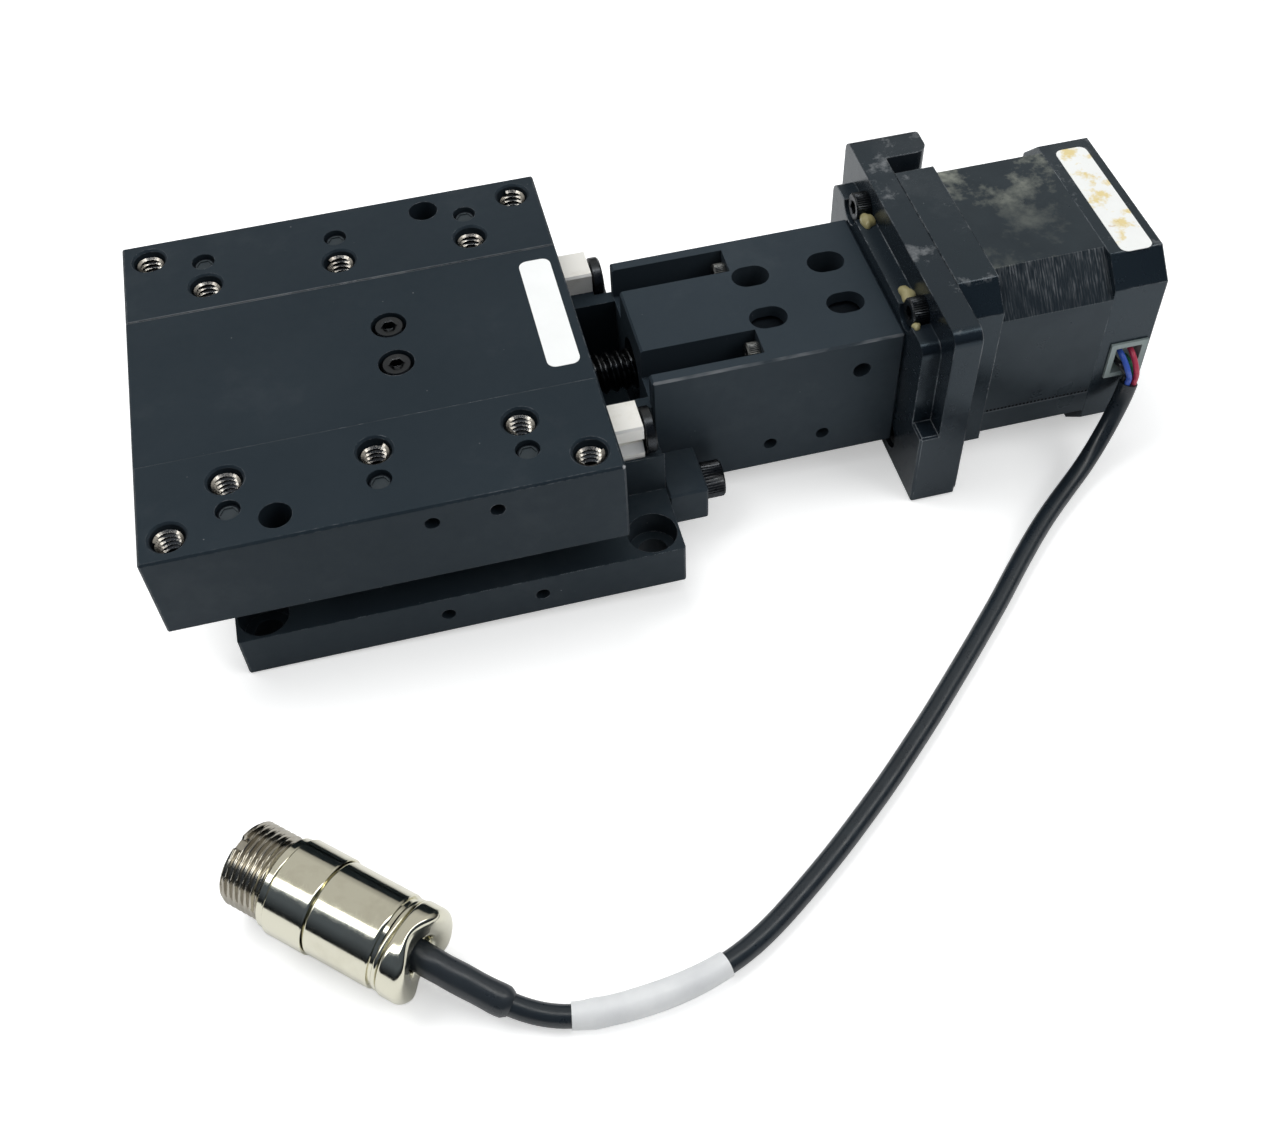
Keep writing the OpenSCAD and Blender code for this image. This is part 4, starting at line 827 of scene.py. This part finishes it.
# ---- plug, along its own X axis from its threaded front ----
PLUG_FRONT = (-42.0, -81.3)
PLUG_YAW = math.radians(-42.6)
PLUG_TILT = math.atan(REST_SLOPE * math.cos(PLUG_YAW))
PLUG_Z = PLUG_R - REST_SLOPE * (PLUG_FRONT[0] + HALF)
PLUG = (Matrix.Translation(Vector((*PLUG_FRONT, PLUG_Z)))
        @ Matrix.Rotation(PLUG_YAW, 4, "Z") @ Matrix.Rotation(PLUG_TILT, 4, "Y"))
PLUG_THREAD_R, PLUG_THREAD_DEPTH = 7.0, 0.62
NOTCH_R, NOTCH_HALF, NOTCH_L = 5.86, 1.2, 1.4  # key notch in the front of the thread
BORE_R = 5.8


def notched(point):
    """Cuts the key notch into the plug's thread."""
    x, y, z = point
    if x > NOTCH_L or z < 0 or abs(y) > NOTCH_HALF:
        return point
    return (x, y * NOTCH_R / math.hypot(y, z), z * NOTCH_R / math.hypot(y, z))


def front_rim(a):
    """Radius of the flat front rim, which the key notch also cuts."""
    return NOTCH_R if abs(math.cos(a)) < 0.18 and math.sin(a) > 0 else PLUG_THREAD_R - PLUG_THREAD_DEPTH


part = Part()
thread = thread_rows(0.0, 7.2, PLUG_THREAD_R, PLUG_THREAD_DEPTH, pitch=1.05, seg=96, steps=10)
part.grid([[notched(point) for point in row] for row in thread], 1, PLUG, caps=False)
part.rings([
    (7.2, 6.5), (7.35, 6.55), (7.6, 7.3), (7.8, 7.5), (8.75, 7.5), (8.88, 7.42), (8.9, 6.9),
], 72, 0, PLUG, caps=False)
part.rings([(0.0, front_rim), (0.0, BORE_R + 0.03), (0.15, BORE_R), (7.0, BORE_R)], 96, 0, PLUG, caps=False)
shell = part.make("plug_threaded_shell", "stage_base", [NICKEL, NICKEL_THREAD], ["plug_shell"])

# collar, groove, long grip and groove again
part = Part()
part.rings([
    (8.9, 6.9), (9.15, 6.9), (9.16, PLUG_R - 0.15), (9.3, PLUG_R), (16.1, PLUG_R), (16.3, PLUG_R - 0.08),
    (16.35, 7.1), (16.55, 7.1), (16.57, 7.6), (16.75, 7.7), (27.7, 7.7), (28.0, 7.55), (28.05, 7.1),
    (28.6, 7.0),
], 72, 0, PLUG, caps=False)
barrel = part.make("plug_long_barrel", "stage_base", [NICKEL], ["plug_barrel"])

NUT_SEG = 96
NUT_RING = [
    (28.6, 0.9), (28.7, 0.45), (28.85, 0.32), (29.3, 0.32), (29.45, 0.45), (29.5, 0.85), (29.65, 0.85),
]  # places along the nut and how far they lie in from its outline
NUT_BODY = [(29.7, 0.35), (29.9, 0.08), (30.15, 0.0), (30.5, 0.0), (31.5, 0.0)]
NUT_MOUTH = [(33.95, 2.3), (33.95, 3.0), (33.9, 3.5), (33.7, 4.1), (33.3, 4.5)]
NUT_FLOOR = 31.15  # where the cable ends inside
ROLL, ROLL_X = 1.5, 32.4  # rolled rim
SADDLE, SADDLE_X, SADDLE_L, SADDLE_HALF = 1.7, 30.6, 3.3, 5.6  # hollow of the rim, above and below the cable


def nut_outline(a):
    """Rear nut's outline: round, a little flatter above and below."""
    return 7.8 - 0.5 * abs(math.sin(a)) ** 5


def saddled(point):
    """Draws the nut's rim back where the saddle lies."""
    x, y, z = point
    if x <= SADDLE_X:
        return point
    dip = SADDLE * (0.5 + 0.5 * math.cos(math.pi * min(1.0, abs(y) / SADDLE_HALF)))
    return (x - dip * (x - SADDLE_X) / SADDLE_L, y, z)


def nut_rows():
    """Rear nut: a groove, a narrow ring, then a body whose rim rolls over to the saddle round the cable."""
    quarter = [math.pi / 2 * k / 10 for k in range(11)]
    rim = [(ROLL_X + ROLL * math.sin(a), ROLL * (1 - math.cos(a))) for a in quarter]
    rows = []
    for x, inset in NUT_RING + NUT_BODY + rim + NUT_MOUTH:
        rows.append([saddled(point) for point in ring(x, [nut_outline(a) - inset for a in angles(NUT_SEG)])])
    return rows + [ring(NUT_FLOOR, [r] * NUT_SEG) for r in (3.2, 1.3)]


part = Part()
part.grid(nut_rows(), 0, PLUG, caps=False)
clamp = part.make("plug_rear_nut", "stage_base", [NICKEL], ["plug_clamp_nut"], sharp=50)

# ---- finishes of the CAD pieces that stay ----
FINISHES = [
    (ANODISED, ["base_plate", "nut_bracket"]),
    (CARRIAGE, ["carriage_plate"]),
    (HOUSING, ["drive_housing", "coupling_cover"]),
    (OXIDE_DARKENED_AS_SHADE, ["coupling"]),
    (GLOSSY, ["motor_plate"]),
    (PAINTED, ["motor_front_cap", "motor_rear_cap"]),
    (LAMINATED, ["lamination_stack"]),
    (GROUND, ["inner_rail_front", "inner_rail_rear", "outer_rail_front", "outer_rail_rear"]),
    (BLACK_STEEL, ["bearing_locknut", "bearing_retainer"]),
    (BLACK_STEEL, ["nut_screws", "motor_body_screws", "coupling_screws"]),
    (BRONZE, ["lead_nut", "roller_cage_front", "roller_cage_rear", "plug_contacts"]),
    (COPPER, ["motor_windings"]),
    (SOCKET, ["wire_socket"]),
    (INSERT, ["plug_insert"]),
]
finish_of = {name: finish for finish, names in FINISHES for name in names}
for name, piece in cad_pieces.items():
    piece.data.materials.clear()
    piece.data.materials.append(finish_of.get(name, TURNED))

# ---- lead screw ----
SCREW_AXIS = facing((0, 0, AXIS_Z), (1, 0, 0))
SCREW_R, THREAD_DEPTH, LEAD = 4.0, 0.75, 2.0
THREAD_START, THREAD_END = -33.4, 45.0
FREE_END_R, JOURNAL_R = 2.5, 3.0
part = Part()
part.grid(thread_rows(THREAD_START, THREAD_END, SCREW_R, THREAD_DEPTH, LEAD, seg=48), 0, SCREW_AXIS)
part.rings([(-38.0, FREE_END_R - 0.2), (-37.8, FREE_END_R), (THREAD_START, FREE_END_R)], 32, 0, SCREW_AXIS)
part.rings([(THREAD_END, JOURNAL_R), (71.2, JOURNAL_R), (71.4, JOURNAL_R - 0.2)], 32, 0, SCREW_AXIS)
part.make("drive_screw", "screw", [BLACK_STEEL], ["lead_screw"], sharp=40)

# ---- cap screws: the sizes of their heads, and where they sit ----
M25 = {"thread": 2.5, "head_d": 4.5, "head_h": 2.5, "key": 2.0}
M3 = {"thread": 3.0, "head_d": 5.5, "head_h": 3.0, "key": 2.5}
M4 = {"thread": 4.0, "head_d": 7.0, "head_h": 4.0, "key": 3.0}
RAIL_END = {"thread": 3.0, "head_d": 8.6, "head_h": 2.0, "key": 2.5}
EAR_X, EAR_Y, EAR_Z = 47.5, 22.4, 5.9  # ears beside the drive housing
TIE_X, TIE_Y, TIE_Z = 61.6, 11.3, 25.2  # top of the drive housing
BOLT_X, BOLT_HALF = 91.2, 15.5  # the motor's bolts in its plate
STOP_X, STOP_Y = 36.9, 21.0  # ends of the inner rails
INNER_SCREW_Y, INNER_SCREW_Z = 20.8, 22.8  # inner rails, on the base
OUTER_SCREW_Y, OUTER_SCREW_Z = 31.8, 30.9  # outer rails, in the carriage
BRACKET_X, BRACKET_Y, BRACKET_Z = TABLE_X + 6.6, 5.0, TOP - 3.5  # nut bracket, under the carriage
TO_MOTOR, TO_FREE_END, UP = (1, 0, 0), (-1, 0, 0), (0, 0, 1)

add_screws(
    "ear_cap_screws", "stage_base", cap_screw(**M4, shank=14.9, knurl=0.16),
    [((EAR_X, side * EAR_Y, EAR_Z), TO_MOTOR) for side in SIDES], [BLACK_STEEL], ["ear_screws"])
add_screws(
    "tie_cap_screws", "stage_base", cap_screw(**M25, shank=29.9, knurl=0.1),
    [((TIE_X, side * TIE_Y, TIE_Z), TO_FREE_END) for side in SIDES], [WORN_STEEL], ["tie_screws"])
add_screws(
    "motor_cap_screws", "stage_base", cap_screw(**M3, shank=9.2, knurl=0.12),
    [((BOLT_X, sy * BOLT_HALF, AXIS_Z + sz * BOLT_HALF), TO_FREE_END) for sy in SIDES for sz in SIDES],
    [BLACK_STEEL], ["motor_screws"])
add_screws(
    "rail_stop_screws", "stage_base", cap_screw(**RAIL_END, shank=5.0, edge=0.35),
    [((sx * STOP_X, sy * STOP_Y, WAY_Z), (sx, 0, 0)) for sx in SIDES for sy in SIDES],
    [BLACK_STEEL], ["rail_end_screws"])
add_screws(
    "inner_way_screws", "stage_base", cap_screw(**M3, shank=11.0, knurl=0.1),
    [((x, side * INNER_SCREW_Y, INNER_SCREW_Z), UP) for side in SIDES for x in RAIL_SCREWS],
    [BLACK_STEEL], ["inner_rail_screws"])
add_screws(
    "bracket_cap_screws", "carriage", cap_screw(**M3, shank=7.3, knurl=0.1),
    [((BRACKET_X, side * BRACKET_Y, BRACKET_Z), UP) for side in SIDES], [BLACK_STEEL], ["bracket_screws"])


def sunk_screw():
    """Screw sunk in the carriage: a small black head whose socket is worn and dusty."""
    part = Part()
    part.rings([
        (-12.4, 1.3), (-12.2, 1.5), (0.0, 1.5), (0.0, 2.0), (0.1, 2.1), (2.2, 2.1), (2.4, 1.9),
        (2.4, 1.60), (2.34, hexagon(2.6)), (2.1, hexagon(2.5)), (2.05, 0.02)], 36)
    for index, face in enumerate(part.faces):
        in_socket = all(part.verts[i].x > 2.0 and part.verts[i].yz.length < 1.61 for i in face)
        part.slots[index] = int(in_socket)
    return part


# their heads take the oxide darkened as painted shade, their sockets the dusty finish
add_screws(
    "outer_way_screws", "carriage", sunk_screw(),
    [((TABLE_X + x, side * OUTER_SCREW_Y, OUTER_SCREW_Z), UP) for side in SIDES for x in RAIL_SCREWS],
    [OXIDE_DARKENED_AS_SHADE, DUSTY], ["outer_rail_screws"])

# ---- wire thread inserts, each turned a little further than the last ----
CORNER_HOLE, INNER_HOLE_Y = 35, 25
HOLES = [(sx * CORNER_HOLE, sy * CORNER_HOLE) for sx in SIDES for sy in SIDES]
HOLES += [(x, side * INNER_HOLE_Y) for x in RAIL_SCREWS for side in SIDES]
COIL_TURNS, COIL_PITCH = 4.5, 1.0
COIL_H = COIL_TURNS * COIL_PITCH
COIL_SINK = 0.95  # from the carriage's top to the coil
COIL_STEP = 1.7  # radians from one coil's start to the next
COIL_SIZES = {
    "Radius": 2.44 * MM, "Height": COIL_H * MM, "Turns": COIL_TURNS,
    "Wire In": 0.46 * MM, "Wire Out": 0.28 * MM, "Wire Rise": 0.30 * MM}
coil_seats = [
    ((TABLE_X + x, y, TOP - COIL_SINK - COIL_H), (0, 0, number * COIL_STEP))
    for number, (x, y) in enumerate(HOLES)]
repeat(
    "insert_coils", "carriage", coils_tree(), COIL_SIZES, coil_seats, [COIL],
    ["thread_inserts"])

# ---- labels ----
LABEL_T = 0.09


def label(name, body, centre, size, radius, finish):
    """Thin sheet with rounded corners, lying flat, with its lower face at the centre's height."""
    half_w, half_h = size[0] / 2 - radius, size[1] / 2 - radius
    outline = []
    for cx, cy, first in ((1, 1, 0), (-1, 1, 90), (-1, -1, 180), (1, -1, 270)):
        for a in (math.radians(first + 15 * k) for k in range(7)):
            outline.append((cx * half_w + radius * math.cos(a), cy * half_h + radius * math.sin(a)))
    x0, y0, z0 = centre
    levels = ((0.0, 1.0), (LABEL_T, 1.0), (LABEL_T, 0.97))
    part = Part()
    part.grid([[(x0 + x * share, y0 + y * share, z0 + z) for x, y in outline] for z, share in levels])
    part.make(name, body, [finish], sharp=40)


label("carriage_label", "carriage", (TABLE_X + 35.25, 0.6, TOP - 0.2), (5.9, 28.8), 1.6, LABEL)
label("motor_label", "stage_base", (130.9, -1.3, AXIS_Z + MOTOR_HALF), (6.2, 30.7), 1.5, STAINED)

# ---- yellowed glue in the motor plate's trough ----
DROPS = [
    ((89.7, 11.2, 31.5), (1.5, 2.0, 1.3)),
    ((89.8, -10.6, 31.5), (1.4, 2.5, 1.2)),
    ((88.5, -18.9, 31.5), (0.8, 0.9, 0.7)),
]  # each drop's middle, then its half length, half width and height


def drop_rows(middle, reach):
    """Dome with a wavy outline."""
    (x, y, z), (rx, ry, rz) = middle, reach
    rows = []
    for lift in (math.pi / 2 * j / 8 for j in range(9)):
        height = z + rz * math.sin(lift)
        row = []
        for a in angles(24):
            wave = 1 + 0.12 * math.sin(3 * a + x) + 0.07 * math.sin(5 * a + y)
            spread = max(math.cos(lift), 0.02) * wave
            row.append((x + rx * spread * math.cos(a), y + ry * spread * math.sin(a), height))
        rows.append(row)
    return rows


part = Part()
for middle, reach in DROPS:
    part.grid(drop_rows(middle, reach))
part.make("plate_glue", "stage_base", [GLUE], sharp=60)

# ---- floor, tilted so that the base's free end and the motor plate rest on it ----
PAPER = (0.90, 0.90, 0.895)
FLOOR_HALF = 3.0  # metres
FLOOR_GAP = 0.03
floor_mesh = bpy.data.meshes.new("floor")
corners = [(x * FLOOR_HALF, y * FLOOR_HALF, 0) for x, y in ((-1, -1), (1, -1), (1, 1), (-1, 1))]
floor_mesh.from_pydata(corners, [], [(0, 1, 2, 3)])
floor = bpy.data.objects.new("floor", floor_mesh)
scene.collection.objects.link(floor)
floor.location = (-HALF * MM, 0, -FLOOR_GAP * MM)
floor.rotation_euler = (0, math.atan(REST_SLOPE), 0)

# the camera sees white paper; what the paper gives back to the object darkens beyond its edge
floor_material, tree = material("floor_white")
away = vector_math(tree, "LENGTH", coords(tree))
sheet = mix_colour(tree, ramp(tree, away, 0.42, 0.62), PAPER, (0.10, 0.10, 0.11))
near = node(tree, "ShaderNodeBsdfDiffuse", {"Color": sheet})
plain = node(tree, "ShaderNodeBsdfDiffuse", {"Color": (*PAPER, 1.0)})
glow = node(tree, "ShaderNodeEmission", {"Color": (1.0, 1.0, 0.995, 1.0), "Strength": 0.40})
lit = node(tree, "ShaderNodeAddShader", {0: plain.outputs[0], 1: glow.outputs[0]})
seen = node(tree, "ShaderNodeLightPath").outputs["Is Camera Ray"]
both = node(tree, "ShaderNodeMixShader", {0: seen, 1: near.outputs[0], 2: lit.outputs[0]})
node(tree, "ShaderNodeOutputMaterial", {"Surface": both.outputs[0]})
floor_mesh.materials.append(floor_material)

# ---- room: even light for matte surfaces, a dark skirting and bright ceiling and window for glossy ones ----
world = bpy.data.worlds.new("studio")
scene.world = world
world.use_nodes = True
tree = world.node_tree
tree.nodes.clear()
toward = node(tree, "ShaderNodeTexCoord").outputs["Generated"]
up = axis_of(tree, toward, 2)
depth = axis_of(tree, toward, 1)
ceiling = ramp(tree, up, 0.10, 0.55, 0.05, 0.62)
near_side = ramp(tree, depth, -0.05, -0.20, 1.0, 0.19)
window = ramp(tree, size_of(tree, math_node(tree, "ADD", depth, 0.03)), 0.10, 0.07, 0.0, 4.5)
window = product(tree, window, ramp(tree, up, 0.55, 0.70))
mirrored = {
    "Color": mix_colour(tree, near_side, (0.68, 0.86, 1.15), (1.0, 0.985, 0.93)),
    "Strength": math_node(tree, "ADD", product(tree, ceiling, near_side), window)}
even = {"Color": (0.96, 0.98, 1.0, 1.0), "Strength": ramp(tree, up, 0.0, 0.85, 0.16, 0.62)}
white = {"Color": (1.0, 1.0, 1.0, 1.0), "Strength": 1.0}
looks = [node(tree, "ShaderNodeBackground", look).outputs[0] for look in (even, mirrored, white)]
rays = node(tree, "ShaderNodeLightPath").outputs
light = node(tree, "ShaderNodeMixShader", {0: rays["Is Glossy Ray"], 1: looks[0], 2: looks[1]})
light = node(tree, "ShaderNodeMixShader", {0: rays["Is Camera Ray"], 1: light.outputs[0], 2: looks[2]})
node(tree, "ShaderNodeOutputWorld", {"Surface": light.outputs[0]})

# ---- lamps: places in metres ----
LAMP_TARGET = (0.03, -0.02, 0.0)


def lamp(name, spot, size, power):
    """Soft box that shines at the stage and isn't mirrored in it."""
    data = bpy.data.lights.new(name, "AREA")
    data.shape = "RECTANGLE"
    data.size, data.size_y = size
    data.energy = power
    made = bpy.data.objects.new(name, data)
    scene.collection.objects.link(made)
    made.location = spot
    made.rotation_euler = (Vector(LAMP_TARGET) - Vector(spot)).to_track_quat("-Z", "Y").to_euler()
    made.visible_glossy = False


lamp("key", (-0.30, 0.35, 0.95), (0.9, 0.6), 7.5)
lamp("fill", (0.75, -0.45, 0.60), (0.6, 0.6), 3.0)
scene.view_settings.view_transform = "Standard"
